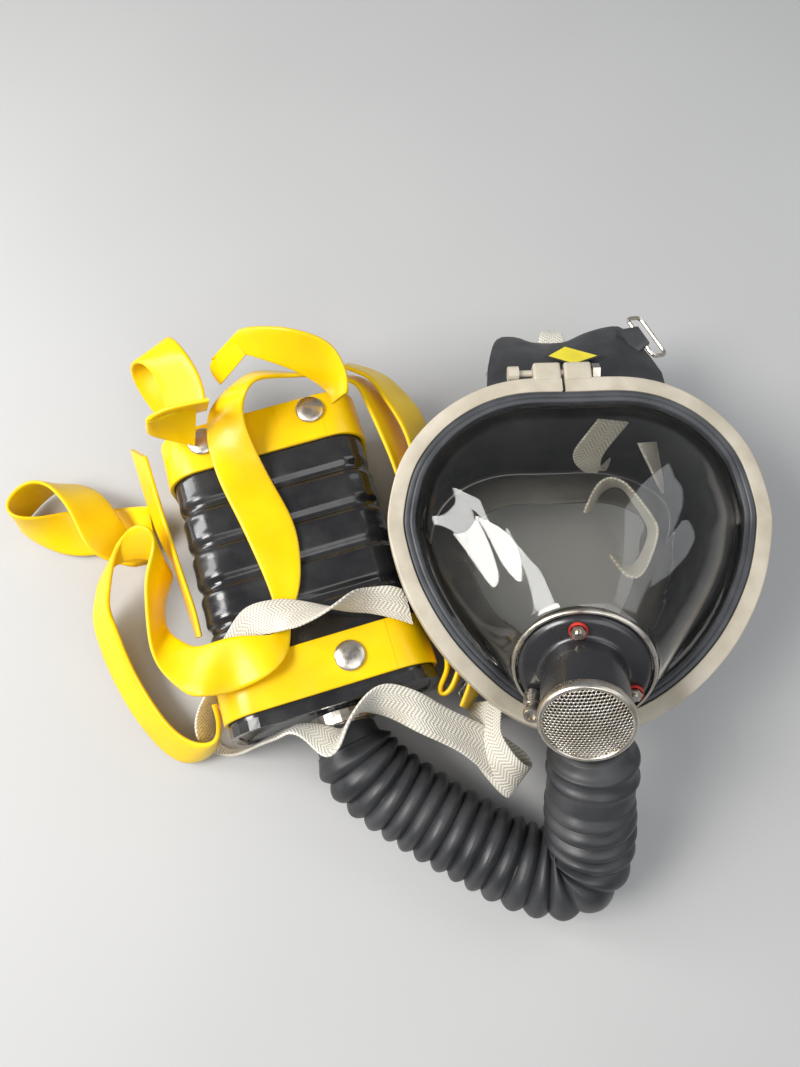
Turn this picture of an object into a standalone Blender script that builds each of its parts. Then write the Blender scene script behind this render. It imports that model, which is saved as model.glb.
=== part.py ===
"""Full face respirator: a face mask lying lens up, a corrugated hose, a filter canister
with its rubber strap harness, and cotton webbing. Metres, +Z up.

The mask, the canister and the valve housing are each modelled in a frame of their own,
which an empty carries to its place. The loose straps lie on one common layout.
"""

import math

import bmesh
import bpy
import numpy as np
from mathutils import Euler, Matrix, Vector

MM = 0.001
COLLECTION = "full_face_respirator"

# ---- driving dimensions, mm -------------------------------------------------
FOOTPRINT_CENTRE = (-21.26, -16.44)   # middle of the footprint, on the layout

MASK_PLACE, MASK_TURN = (85.5, -32.0, 0.0), 1.5      # layout place, degrees about Z
CAN_PLACE, CAN_TURN = (-53.4, -29.4, 30.4), 17.0

# Half of the clamp band's outer edge, forehead to chin: across, up the face
FRAME_HALF = ((0, 78), (29, 77.5), (51, 71.5), (70, 59.5), (84, 42), (90.5, 20),
              (90, 3), (82.5, -22), (68, -47), (48, -67.5), (26, -80.5), (0, -86))
# Height of that edge over the table, by place up the face
FRAME_RISE = ((-90, 50.5), (-76, 58), (-60, 67), (-30, 73.5), (20, 80), (55, 88.5), (80, 97))
FRAME_STEPS = 56
SPLIT_ACROSS = -5.5               # where the band's two ends meet at the forehead
BAND_WIDTH, BAND_WALL, BAND_THICK = 7.6, 7.0, 1.4
BEAD_WIDTH, GROOVE_DEPTH = 5.8, 5.4
LENS_THICK = 1.8
LENS_ROWS = 8
LENS_STEEP = (76, 70, 66, 58, 24)   # degrees the lens rises from its rim, chin to forehead
SKIRT_THICK, SEAL_THICK = 2.4, 1.6

# Forehead flap: its root under the band and its free edge, from left to right
FLAP_ROOT = ((-40, 74, 75.5), (-24, 78.5, 80.5), (-5, 80.3, 82), (14, 80, 81.5), (36, 76.5, 79),
             (51, 72, 76))
FLAP_TIP = ((-36, 104, 62), (-29.5, 125, 54), (-19.5, 126.5, 54), (-10, 121.5, 56), (6, 121, 56.5),
            (18.5, 127, 55.5), (31, 131.5, 54), (39.5, 130, 55), (48, 113, 60), (53, 96, 66))
LABEL_PLACE = (0, 101.8, 74.5)

PORT_PLACE = (-7.0, -58.6, 85.0)     # on the mask: middle of the lens's round opening
PORT_TILT, PORT_LEAN = 47.0, -15.0   # degrees the port's axis leans down the face, and left
PORT_RADIUS = 30.6
HOUSING_RADIUS, HOUSING_BORE, HOUSING_TALL = 18.6, 16.4, 34.0
SPIGOT_RADIUS, SPIGOT_BORE, SPIGOT_REACH, SPIGOT_RISE = 14.5, 12.6, 25.5, 17.5
COVER_RADIUS = 19.9
SCREW_SPOTS = ((0, 23.2), (20.0, -11.6), (-23.3, -9.1))   # top, right, left, on the flange

CAN_WIDE, CAN_TALL, CAN_LONG = 101.0, 55.2, 152.0
CAN_CORNER = 16.0
CAN_BEADS, CAN_BEAD_DEPTH = (37.0, 16.0, -5.0, -26.0), 1.6
CAN_WALL = 0.8
NECK_PLACE = (1.5, 0.6)              # on the outlet end: across, up
NECK_RADIUS = 13.4
STRAP_THICK, STRAP_WIDE = 2.3, 26.0
UPPER_BAND_TOP, LOWER_BAND_TOP = 80.0, -45.5
WEB_THICK = 1.5

HOSE_RADIUS = 20.0
HOSE_CUFF_RADIUS = 14.2
# Middle of the hose from the canister's neck to the valve housing, on the layout
HOSE_ROUTE = (
    (-26.8, -111.1, 31), (-24.2, -119.6, 31), (-18, -129, 29.5), (-8, -138, 26.5), (6, -147, 24),
    (22, -156.5, 22.5), (39, -165.5, 22), (55, -173.5, 22), (69.5, -177.5, 22.5), (81, -176.5, 25.5),
    (86.8, -169.5, 31), (87.6, -159.5, 39.5), (86.2, -150.5, 49), (84.9, -142, 57.7),
    (84.8, -134.5, 65), (84.2, -127, 72.2), (82.9, -121.9, 77.5),
)

# Loose straps: each row is one station, with the strap's first and second edge there
RUBBER_ROUTES = {
    "shoulder_strap": (
        (-46, 71, 54, -42, 62, 72), (-60, 70, 58, -56, 59, 75), (-77, 64, 69, -71, 51, 86),
        (-89, 54, 68, -76, 42, 86), (-97, 46, 66, -78, 38, 79),
        (-98, 30, 66, -76, 29, 73), (-91, 7, 65, -67, 11, 62), (-77, -20, 62.5, -52, -17, 60),
        (-64, -47, 62, -48, -45, 60.5), (-58, -64, 62.5, -52, -65, 61.2),
        (-58, -71, 64, -51, -77, 61.7), (-62, -73, 65.5, -55, -88, 67.5),
        (-70, -73, 67, -64, -94, 67), (-81, -74, 66, -77, -99, 63), (-90, -77, 64, -87, -101, 68),
        (-99, -76, 56, -97, -100, 64), (-117, -64, 36, -117, -83, 52), (-123, -49, 27, -124, -59, 50),
        (-119, -36, 31, -125, -38, 55), (-119, -33, 35, -121, -25, 58), (-129, -27, 39, -124, -18, 62),
        (-145, -29, 37, -135, -16, 56), (-157, -35, 28, -144, -25, 47), (-163, -45, 16, -149, -49, 36),
        (-165, -55, 9, -148, -58, 27), (-155, -81, 1.6, -137, -83, 18), (-135, -109, 1.6, -118, -108, 19),
        (-114, -126, 1.6, -103, -118, 22), (-96, -122, 8, -90, -118, 31), (-91, -108, 17, -87, -109, 42),
        (-93, -100, 21, -89, -102, 45.6),
    ),
    "front_loop": (
        (-35, 49, 63.5, -26, 43, 86.4), (-35, 52, 68, -25, 48, 90), (-49, 57, 80, -33, 63, 98),
        (-68, 63, 84, -52, 69, 102), (-85, 69, 81, -67, 73, 98), (-97, 68, 75, -80, 76, 91.5),
        (-99, 65, 71, -82, 73, 88), (-93, 59, 66, -77, 66, 84),
    ),
    "left_loop": (
        (-136, 6, 28, -136, -10, 8), (-143, 9, 20, -140, -14, 11), (-153, 11, 13, -151, -12, 5),
        (-165, 11, 10, -164, -13, 2.3), (-185, 7, 17, -187, -14, 3), (-198, 1, 24, -208, -5, 2),
        (-212, 1, 27, -218, 4, 3), (-215, 8, 27, -214, 7, 2), (-207, 20, 27, -205, 20, 2),
        (-193, 18, 30, -190, 27, 6.7), (-177, 2, 35, -167, 17, 18), (-166, -17, 35, -152, -1, 22),
        (-160, -23, 31, -147, -8, 16), (-151, -26, 28, -142, -13, 8.6), (-141, -27, 26, -135, -17, 4),
    ),
    "top_loop": (
        (-120, 41, 63, -97, 41, 74), (-123, 55, 68, -100, 55, 78), (-131, 67, 71, -109, 70, 81),
        (-141, 71, 66, -120, 83, 74), (-143, 68, 54, -123, 80, 64), (-135, 56, 46, -115, 63, 59),
        (-126, 46, 42, -107, 51, 53),
    ),
    "folded_strap": (
        (-104, 25, 65, -99, 37, 86), (-115, 27, 66, -109, 31, 90), (-124, 29, 67, -118, 28, 88),
        (-129, 29, 70, -123, 26, 87), (-124, 31, 75, -119, 27, 92), (-114, 35, 76, -110, 30, 95),
        (-97, 40, 75, -90, 33, 98),
    ),
    "right_strap": (
        (-36, 66, 60, -33, 78, 41), (-24, 63, 62, -21, 77, 41), (-16, 47, 61, -7, 62, 43),
        (-5, 21, 59, 4, 34, 40),
        (1, 5, 57, 8, 14, 35), (5, 5, 57, 13, 14, 35), (8, 12, 57, 17, 23, 37),
        (2, 36, 59, 13, 51, 42), (-11, 58, 61, -2, 72, 42), (-17, 66, 62, -12, 80, 42),
        (-30, 72, 62, -28, 84, 44),
    ),
    "spare_loop": (
        (20, -76, 58, 24, -70, 34), (23, -86, 54, 26, -80, 30), (18, -95, 49, 21, -90, 25),
        (19, -99, 48, 22, -96, 23), (22, -99, 49, 25, -95, 25), (27, -89, 53, 31, -84, 29),
        (29, -82, 54, 33, -77, 30), (31, -79, 52.5, 37, -76, 28), (34, -83, 51, 41, -82, 27),
        (34, -90, 50, 42, -89, 26), (29, -103, 46, 34, -102, 22),
    ),
    "side_strap": (
        (-133, 25, 50, -147, 37, 34), (-123, -2, 50, -136, 7, 31), (-116, -20, 50, -128, -12, 29.4),
        (-109, -38, 50, -117.5, -32, 28), (-101, -57, 50, -110, -51, 27), (-97, -70, 50, -104, -66, 26.5),
    ),
}
WEBBING_ROUTES = {
    "neck_webbing": (
        (-84, -75, 60.7, -76, -80, 60), (-79, -65, 60.6, -70, -74, 61.8), (-75, -59, 60.8, -66, -72, 60.6),
        (-68, -57, 64.6, -60, -72, 66), (-57, -55, 64.2, -52, -72, 74.3), (-47, -56, 64.6, -45, -71, 78),
        (-34, -59, 64.6, -32, -65, 83.7), (-24, -61, 63.5, -23, -57, 83), (-17, -61, 62.5, -18, -53, 76),
        (-7, -63, 62.8, -9, -51, 72.3), (1, -65, 62, -3, -50, 70.5), (6, -67, 62.2, 2, -51, 66.4),
    ),
    "waist_webbing": (
        (-95, -94, 34, -92, -93, 16), (-101, -100, 24, -95, -99, 7), (-104, -108, 19, -97, -106, 2.5),
        (-103, -115, 17, -95, -112, 3), (-101, -120, 2, -95, -116, 0.9), (-92, -123, 3, -87, -120, 2.2),
        (-81, -123, 16, -77, -119, 8.3), (-66, -120, 40, -63, -116, 31.4), (-55, -118, 54, -52, -113, 44.5),
        (-48, -116, 57, -45, -111, 47.6), (-35, -127, 60, -30, -113, 50), (-29, -127, 62, -27, -115, 46.7),
        (-22, -110, 68, -21, -106, 48.5), (-10, -96, 67, -7, -108, 51.5), (6, -97, 61, 8, -116, 57),
        (23, -105, 52, 27, -124, 51), (43, -113, 44, 40, -133, 43), (59, -123, 39, 50, -140, 37.4),
        (63, -127, 39, 52, -143, 37), (63, -130, 41, 52, -145, 33), (56, -129, 50, 45, -140, 38),
        (48, -118, 51, 35, -127, 39), (47, -112, 51, 32, -117, 38.4), (49, -100, 47, 36, -100, 31.4),
    ),
}
HEAD_ROUTES = {
    "crown_strap": (
        (96, 29, 84, 113, 31, 77), (88, 21, 73, 103, 21, 64), (86, 18, 66, 102, 17, 57.7),
        (93, 14, 57, 108, 18, 48), (101, 15, 52, 112, 27, 44),
    ),
    "strap_loop": (
        (94, -6, 50, 101, 0, 34.5), (102, 9, 56, 108, 11, 39.4), (112, 9, 58, 117, 12, 41),
        (121, -2, 57, 123, 3, 40), (130, -15, 53, 131, -10, 36), (127, -27, 51, 128, -20, 34.6),
        (121, -39, 50, 123, -28, 35), (114, -41, 49, 118, -31, 35.4), (106, -28, 48, 113, -24, 32),
    ),
    "temple_strap": ((117, 21, 75, 130, 27, 64), (127, 11, 62, 137, 13, 47.4), (132, 8, 54, 140, 9, 38)),
    "crown_loop": (
        (76, 90, 48, 90, 88, 50.3), (77, 98, 50, 91, 98, 49.4), (80, 104, 46, 91, 108, 39),
        (82, 107, 40, 92, 112, 32),
    ),
}


# ---- materials and objects --------------------------------------------------

def material(name, colour, roughness, metallic=0.0, alpha=1.0):
    """One Principled material; each object gets its own copy."""
    new = bpy.data.materials.new(name)
    new.use_nodes = True
    shader = new.node_tree.nodes["Principled BSDF"]
    shader.inputs["Base Color"].default_value = (*colour, 1.0)
    shader.inputs["Roughness"].default_value = roughness
    shader.inputs["Metallic"].default_value = metallic
    shader.inputs["Alpha"].default_value = alpha
    new.diffuse_color = (*colour, alpha)
    return new


FINISHES = {
    "clear": ((0.80, 0.84, 0.84), 0.05, 0.0, 0.3),
    "cream_paint": ((0.72, 0.68, 0.58), 0.45),
    "black_rubber": ((0.045, 0.047, 0.05), 0.55),
    "black_plastic": ((0.03, 0.03, 0.032), 0.3),
    "bright_metal": ((0.62, 0.58, 0.50), 0.3, 1.0),
    "black_paint": ((0.02, 0.02, 0.022), 0.18),
    "yellow_rubber": ((0.83, 0.58, 0.01), 0.35),
    "cotton": ((0.72, 0.70, 0.62), 0.9),
    "grey_rubber": ((0.32, 0.31, 0.28), 0.6),
    "filter_felt": ((0.75, 0.73, 0.68), 0.95),
    "charcoal": ((0.03, 0.03, 0.03), 0.95),
    "label": ((0.85, 0.72, 0.02), 0.4),
}


def place(mesh_or_curve, name, finish, parent=None, matrix=None, cutter=False):
    """Make an object of some data, with its own material, in the right collection."""
    obj = bpy.data.objects.new(name, mesh_or_curve)
    group = "cutters" if cutter else COLLECTION
    bpy.data.collections[group].objects.link(obj)
    if parent is not None:
        obj.parent = parent
    if matrix is not None:
        obj.matrix_local = matrix
    if cutter:
        obj.hide_render = True
        obj.display_type = "WIRE"
    else:
        mesh_or_curve.materials.append(material(name, *FINISHES[finish]))
    return obj


def smooth(mesh, degrees=35.0):
    mesh.shade_smooth()
    mesh.set_sharp_from_angle(angle=math.radians(degrees))


def solidify(obj, thickness, offset=0.0):
    mod = obj.modifiers.new("thickness", "SOLIDIFY")
    mod.thickness = thickness * MM
    mod.offset = offset
    mod.use_even_offset = True
    mod.use_quality_normals = True
    return obj


def boolean(obj, other, operation="DIFFERENCE"):
    mod = obj.modifiers.new(operation.lower(), "BOOLEAN")
    mod.operation = operation
    mod.object = other
    return obj


def empty(name, location, turn=(0.0, 0.0, 0.0), parent=None):
    """A frame of reference; location in mm, turn in degrees."""
    obj = bpy.data.objects.new(name, None)
    bpy.data.collections[COLLECTION].objects.link(obj)
    obj.location = Vector(location) * MM
    obj.rotation_euler = Euler([math.radians(angle) for angle in turn])
    obj.parent = parent
    return obj


# ---- mesh makers, all taking millimetres ------------------------------------

def mesh_from(name, points, faces):
    mesh = bpy.data.meshes.new(name)
    mesh.from_pydata([Vector(point) * MM for point in points], [], faces)
    return mesh


def fix_normals(mesh):
    shape = bmesh.new()
    shape.from_mesh(mesh)
    bmesh.ops.recalc_face_normals(shape, faces=shape.faces)
    shape.to_mesh(mesh)
    shape.free()
    return mesh


def lofted(name, rows, around=False, closed_along=False, caps=False):
    """Quads between rows of points; around joins each row's ends."""
    rows = [list(row) for row in rows]
    width = len(rows[0])
    points = [point for row in rows for point in row]
    faces = []
    bands = len(rows) if closed_along else len(rows) - 1
    for i in range(bands):
        j = (i + 1) % len(rows)
        for k in range(width if around else width - 1):
            m = (k + 1) % width
            faces.append((i * width + k, i * width + m, j * width + m, j * width + k))
    if caps:
        last = (len(rows) - 1) * width
        faces.append(tuple(range(width - 1, -1, -1)))
        faces.append(tuple(last + k for k in range(width)))
    return mesh_from(name, points, faces)


def block(name, size, centre, bevel=0.0, cutter=False, **kw):
    """A box with rounded edges, its scale applied."""
    shape = bmesh.new()
    bmesh.ops.create_cube(shape, size=1.0)
    bmesh.ops.scale(shape, vec=Vector(size) * MM, verts=shape.verts)
    bmesh.ops.translate(shape, vec=Vector(centre) * MM, verts=shape.verts)
    if bevel:
        bmesh.ops.bevel(shape, geom=shape.edges[:], offset=bevel * MM, segments=2,
                        profile=0.5, affect="EDGES")
    mesh = bpy.data.meshes.new(name)
    shape.to_mesh(mesh)
    shape.free()
    return place(mesh, name, kw.pop("finish", None), cutter=cutter, **kw)


def rod(name, radius, start, end, steps=16, cutter=False, **kw):
    """A round bar between two points."""
    start, end = Vector(start), Vector(end)
    shape = bmesh.new()
    bmesh.ops.create_cone(shape, cap_ends=True, segments=steps, radius1=radius * MM,
                          radius2=radius * MM, depth=(end - start).length * MM)
    turn = (end - start).to_track_quat("Z", "Y").to_matrix().to_4x4()
    bmesh.ops.transform(shape, matrix=Matrix.Translation((start + end) * 0.5 * MM) @ turn,
                        verts=shape.verts)
    mesh = bpy.data.meshes.new(name)
    shape.to_mesh(mesh)
    shape.free()
    return place(mesh, name, kw.pop("finish", None), cutter=cutter, **kw)


def turned(name, profile, finish, steps=32, **kw):
    """A closed profile of (radius, height) turned about Z.

    The profile runs down the outer side and back up the inner one. Points at radius 0
    close the shape on its axis.
    """
    mesh = bpy.data.meshes.new(name)
    points = [(radius * MM, 0.0, height * MM) for radius, height in profile]
    on_axis = profile[0][0] == 0.0 and profile[-1][0] == 0.0
    edges = [(i, i + 1) for i in range(len(points) - 1)]
    if not on_axis:
        edges.append((len(points) - 1, 0))
    mesh.from_pydata(points, edges, [])
    obj = place(mesh, name, finish, **kw)
    mod = obj.modifiers.new("turn", "SCREW")
    mod.axis = "Z"
    mod.steps = steps
    mod.render_steps = steps
    mod.use_merge_vertices = True
    mod.merge_threshold = 0.00001
    return obj


def smooth_line(points, count, closed=False):
    """Evenly spaced points on a Catmull-Rom curve through some points of any size."""
    given = np.array(points, dtype=float)
    if closed:
        padded = np.vstack((given[-1], given, given[0], given[1]))
    else:
        padded = np.vstack((2 * given[0] - given[1], given, 2 * given[-1] - given[-2]))
    dense = []
    for a, b, c, d in zip(padded, padded[1:], padded[2:], padded[3:]):
        for t in np.linspace(0.0, 1.0, 16, endpoint=False):
            dense.append(0.5 * (2 * b + (c - a) * t + (2 * a - 5 * b + 4 * c - d) * t ** 2
                                + (3 * b - a - 3 * c + d) * t ** 3))
    dense.append(given[0] if closed else given[-1])
    dense = np.array(dense)
    along = np.concatenate(([0.0], np.cumsum(np.linalg.norm(np.diff(dense, axis=0), axis=1))))
    wanted = np.linspace(0.0, along[-1], count + (1 if closed else 0))
    picked = np.column_stack([np.interp(wanted, along, column) for column in dense.T])
    return picked[:-1] if closed else picked


# ---- mask -------------------------------------------------------------------

def frame_edge(steps=FRAME_STEPS):
    """The clamp band's outer edge: points, and the outward direction at each."""
    left = [(-x, y) for x, y in FRAME_HALF[-2:0:-1]]
    dense = smooth_line(list(FRAME_HALF) + left, steps * 20, closed=True)
    top = np.where(dense[:, 1] > 0, np.abs(dense[:, 0] - SPLIT_ACROSS), np.inf)
    flat = np.roll(dense, -int(np.argmin(top)), axis=0)[::20]
    rise = smooth_line(FRAME_RISE, 60)
    height = np.interp(flat[:, 1], rise[:, 0], rise[:, 1])
    ahead, behind = np.roll(flat, -1, axis=0), np.roll(flat, 1, axis=0)
    tangent = ahead - behind
    tangent /= np.linalg.norm(tangent, axis=1)[:, None]
    outward = np.column_stack((-tangent[:, 1], tangent[:, 0], np.zeros(len(flat))))
    return np.column_stack((flat, height)), outward


def beside(edge, outward, out, up):
    """The edge moved out by some millimetres and up by some."""
    return edge + outward * out + np.array((0.0, 0.0, up))


def rim_height(place_up):
    """Height of the skirt's rim: it rests at both sides, and lifts at forehead and chin."""
    fore = np.clip((place_up - 22.0) / 40.0, 0.0, 1.0)
    chin = np.clip((-place_up - 38.0) / 32.0, 0.0, 1.0)
    return 0.8 + 21.0 * fore ** 2 * (3 - 2 * fore) + 9.0 * chin ** 2 * (3 - 2 * chin)


def ring_loft(name, sections, finish, parent, closed=True, thickness=None):
    """Rows of points running round the mask; closed makes a solid bead of them."""
    mesh = lofted(name, sections, around=True, closed_along=closed)
    if closed:
        fix_normals(mesh)
    smooth(mesh)
    obj = place(mesh, name, finish, parent)
    return solidify(obj, thickness) if thickness else obj


def make_frame_rings(mask):
    edge, outward = frame_edge()
    inner = -BAND_WIDTH - BEAD_WIDTH
    seat = -BAND_WALL - 1.4
    bead = ((-1.7, -1.7), (-1.7, seat), (inner + 1, seat), (inner, seat + 1), (inner, -6.2),
            (inner + GROOVE_DEPTH, -6.2), (inner + GROOVE_DEPTH, -3.8), (inner, -3.8),
            (inner, -1.2), (inner + 1.2, 0.3), (-BAND_WIDTH - 0.3, 0.3),
            (-BAND_WIDTH - 0.3, -1.7))
    ring_loft("lens_gasket", [beside(edge, outward, *spot) for spot in bead],
              "black_rubber", mask)

    rim = rim_height(edge[:, 1])
    rows = [beside(edge, outward, -3.6, seat - 2.0), beside(edge, outward, -10, seat - 4.4)]
    less = np.interp(edge[:, 1], (0, 50), (0.0, 5.0))[:, None]
    upper = beside(edge, outward, less - 17.0, seat - 9.5)
    lower = beside(edge, outward, less - 22.0, 0.0)
    lower[:, 2] = rim
    for share in (0.0, 0.35, 0.7, 1.0):
        rows.append(upper * (1 - share) + lower * share)
    ring_loft("face_skirt", rows, "black_rubber", mask, closed=False, thickness=SKIRT_THICK)

    lip = []
    for out, up in ((-24.8, 1.0), (-30, 5.0), (-37, 8.5), (-45, 10.5)):
        row = beside(edge, outward, less + out, 0.0)
        row[:, 2] = rim + up
        lip.append(row)
    ring_loft("face_seal", lip, "grey_rubber", mask, closed=False, thickness=SEAL_THICK)


def make_clamp_band(mask):
    """A split metal band with a lug at each end, drawn together by one screw."""
    edge, outward = frame_edge()
    section = ((0, -0.5), (0, -BAND_WALL), (-BAND_THICK, -BAND_WALL), (-BAND_THICK, -BAND_THICK),
               (-BAND_WIDTH, -BAND_THICK), (-BAND_WIDTH, 0), (-0.6, 0))
    rows = [[edge[i] + outward[i] * out + np.array((0, 0, up)) for out, up in section]
            for i in range(FRAME_STEPS)]
    start, end = [], []
    for spot in rows[0]:
        start.append(spot + np.array((1.2, 0, 0)))
        end.append(spot - np.array((1.2, 0, 0)))
    mesh = fix_normals(lofted("lens_clamp_band", [start] + rows[1:] + [end], around=True, caps=True))
    smooth(mesh)
    band = place(mesh, "lens_clamp_band", "cream_paint", mask)
    top = edge[0]
    for side in (-1, 1):
        middle = (top[0] + side * 7.6, top[1] + 3.5, top[2] - 2.9)
        boolean(band, block(f"lug_{side}", (12.6, 9.6, 7.0), middle, 1.2, True, parent=mask),
                "UNION")
    hole = top + np.array((0, 4.0, -2.9))
    boolean(band, rod("lug_hole", 1.9, hole + (-16, 0, 0), hole + (16, 0, 0), 16, True,
                      parent=mask))
    across = Matrix.Translation(Vector(hole) * MM) @ Matrix.Rotation(math.radians(90), 4, "Y")
    turned("band_screw", ((0, 16.5), (1.6, 16.5), (1.6, -21), (3.6, -21), (3.6, -26), (0, -26)),
           "cream_paint", 16, parent=mask, matrix=across)
    turned("band_nut", ((4.2, 18.0), (4.2, 14.4), (1.9, 14.4), (1.9, 18.0)), "bright_metal", 6,
           parent=mask, matrix=across)


def port_matrix():
    turn = Euler((math.radians(PORT_TILT), math.radians(PORT_LEAN), 0.0)).to_matrix().to_4x4()
    return Matrix.Translation(Vector(PORT_PLACE) * MM) @ turn


def port_point(x, y, z):
    """A point of the port's frame, on the mask, mm."""
    return np.array(port_matrix() @ (Vector((x, y, z)) * MM)) / MM


def make_lens(mask):
    """The clear visor: a flat rim in the gasket, a bulge, and a round collar at the port."""
    edge, outward = frame_edge()
    inner = -BAND_WIDTH - BEAD_WIDTH
    centre = np.array(port_point(0, 0, -1.1))
    rows = [beside(edge, outward, inner + GROOVE_DEPTH - 1.2, -5.0),
            beside(edge, outward, inner - 2.4, -5.0)]
    bend = rows[-1]
    seen_from = np.array((PORT_PLACE[0] * 0.5, -36.0))
    round_angle = np.arctan2(bend[:, 1] - seen_from[1], bend[:, 0] - seen_from[0])
    collar = np.array([port_point(PORT_RADIUS * math.cos(a), PORT_RADIUS * math.sin(a), -1.1)
                       for a in round_angle])
    leave, arrive = [], []
    for i, spot in enumerate(bend):
        steep = math.radians(np.interp(spot[1], (-75, -55, -40, 10, 65), LENS_STEEP))
        reach = 0.95 * np.linalg.norm(collar[i] - spot)
        leave.append(1.2 * reach * (-outward[i] * math.cos(steep) + np.array((0, 0, math.sin(steep)))))
        radial = (centre - collar[i]) / PORT_RADIUS
        axis = port_point(0, 0, 1) - port_point(0, 0, 0)
        direction = radial * 0.55 + axis * 0.65
        arrive.append(reach * direction / np.linalg.norm(direction))
    leave, arrive = np.array(leave), np.array(arrive)
    for share in np.linspace(0, 1, LENS_ROWS)[1:]:
        s, s2, s3 = share, share ** 2, share ** 3
        rows.append((2 * s3 - 3 * s2 + 1) * bend + (s3 - 2 * s2 + s) * leave
                    + (3 * s2 - 2 * s3) * collar + (s3 - s2) * arrive)
    rows.append(np.array([port_point(27.2 * math.cos(a), 27.2 * math.sin(a), -1.1)
                          for a in round_angle]))
    mesh = lofted("lens", rows, around=True)
    smooth(mesh, 60)
    solidify(place(mesh, "lens", "clear", mask), LENS_THICK)


def make_forehead(mask):
    """A rubber flap with two lobes, sloping down behind the band, and what it carries."""
    across = np.linspace(0, 1, 15)
    root = smooth_line(FLAP_ROOT, 15)
    tip = smooth_line(FLAP_TIP, 15)
    rows = []
    for down in np.linspace(0, 1, 6):
        row = root * (1 - down) + tip * down
        row[:, 2] += 3.0 * math.sin(math.pi * down) * np.sin(math.pi * across)
        rows.append(row)
    mesh = lofted("forehead_flap", rows)
    smooth(mesh)
    solidify(place(mesh, "forehead_flap", "black_rubber", mask), 2.2)
    middle = np.array(LABEL_PLACE)
    corners = [middle + np.array(step) for step in
               ((2.8, 9.4, -3.8), (19.9, -0.7, 2.0), (4.0, -9.5, 8.6), (-9.0, -0.5, 2.6))]
    label = mesh_from("label_plate", corners, [(0, 1, 2), (0, 2, 3)])
    solidify(place(label, "label_plate", "label", mask), 0.5)


def wire_loop(name, wide, deep, wire, finish, **kw):
    """A rounded rectangle of wire in the XY plane: X from one bar to the other's far side."""
    corner = min(wide, deep) * 0.25
    path = []
    for cx, cy, first in ((deep - corner, wide / 2 - corner, 0), (corner, wide / 2 - corner, 90),
                          (corner, corner - wide / 2, 180), (deep - corner, corner - wide / 2, 270)):
        for step in range(4):
            angle = math.radians(first + step * 30)
            path.append((cx + corner * math.cos(angle), cy + corner * math.sin(angle), 0))
    count = len(path)
    rows = []
    for i, spot in enumerate(path):
        before, after = np.array(path[i - 1]), np.array(path[(i + 1) % count])
        along = (after - before) / np.linalg.norm(after - before)
        side = np.array((along[1], -along[0], 0.0))
        rows.append([np.array(spot) + side * wire * math.cos(a) + np.array((0, 0, 1)) * wire
                     * math.sin(a) for a in np.linspace(0, 2 * math.pi, 8, endpoint=False)])
    mesh = fix_normals(lofted(name, rows, around=True, closed_along=True))
    smooth(mesh)
    return place(mesh, name, finish, **kw)


# Each buckle: middle of its hinge bar on the mask (mm), turn about Z, tip, width
BUCKLES = {
    "forehead_buckle_right": ((46.2, 120.6, 62.2), 26.0, 30.0, 26.0),
    "forehead_buckle_left": ((-20.0, 113.0, 44.0), 122.0, 38.0, 22.0),
    "cheek_buckle_right": ((41.0, -56.0, 10.0), -50.0, 12.0, 24.0),
    "cheek_buckle_left": ((-40.0, -57.0, 10.0), -130.0, 12.0, 24.0),
}


def make_buckles(mask):
    for name, (spot, turn, tip, wide) in BUCKLES.items():
        hinge = empty(name + "_hinge", spot, (0, tip, turn), mask)
        wire_loop(name, wide, 12.0, 1.1, "bright_metal", parent=hinge)


# ---- valve housing ----------------------------------------------------------

def make_port(mask, port):
    turned("port_ring", ((29.5, 2.4), (31.2, 1.4), (31.2, 0.3), (29.3, 0.3)), "bright_metal", 40,
           parent=port)
    housing = turned("valve_housing",
                     ((HOUSING_RADIUS, HOUSING_TALL), (HOUSING_RADIUS, 5.6), (19.8, 4.4),
                      (28.4, 2.4), (29.0, 0.3), (HOUSING_BORE, 0.3), (HOUSING_BORE, HOUSING_TALL)),
                     "black_plastic", 40, parent=port)
    backing = turned("port_backing_ring", ((29.0, -2.3), (29.0, -4.6), (18.4, -4.6), (18.4, -2.3)),
                     "bright_metal", 32, parent=port)
    spigot = rod("spigot_outside", SPIGOT_RADIUS, (0, -HOUSING_BORE - 1.2, SPIGOT_RISE),
                 (0, -SPIGOT_REACH, SPIGOT_RISE), 24, True, parent=port)
    boolean(housing, spigot, "UNION")
    boolean(housing, rod("spigot_hole", SPIGOT_BORE, (0, -8, SPIGOT_RISE),
                         (0, -SPIGOT_REACH - 2, SPIGOT_RISE), 24, True, parent=port))
    for i, (x, y) in enumerate(SCREW_SPOTS):
        hole = rod(f"screw_hole_{i}", 1.9, (x, y, -8), (x, y, 8), 12, True, parent=port)
        boolean(housing, hole)
        boolean(backing, hole)
    names = ("port_screw_top", "port_screw_right", "port_screw_left")
    for name, (x, y) in zip(names, SCREW_SPOTS):
        tall = 19.0 if name.endswith("left") else 8.6
        wide, foot = (3.9, 5.6) if name.endswith("left") else (3.3, 4.7)
        head = ((0, tall + 0.8), (wide - 0.8, tall + 0.8), (wide, tall), (wide, foot), (1.6, foot),
                (1.6, -5.4), (0, -5.4))
        turned(name, head, "bright_metal", 12, parent=port,
               matrix=Matrix.Translation((x * MM, y * MM, 0)))


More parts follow.
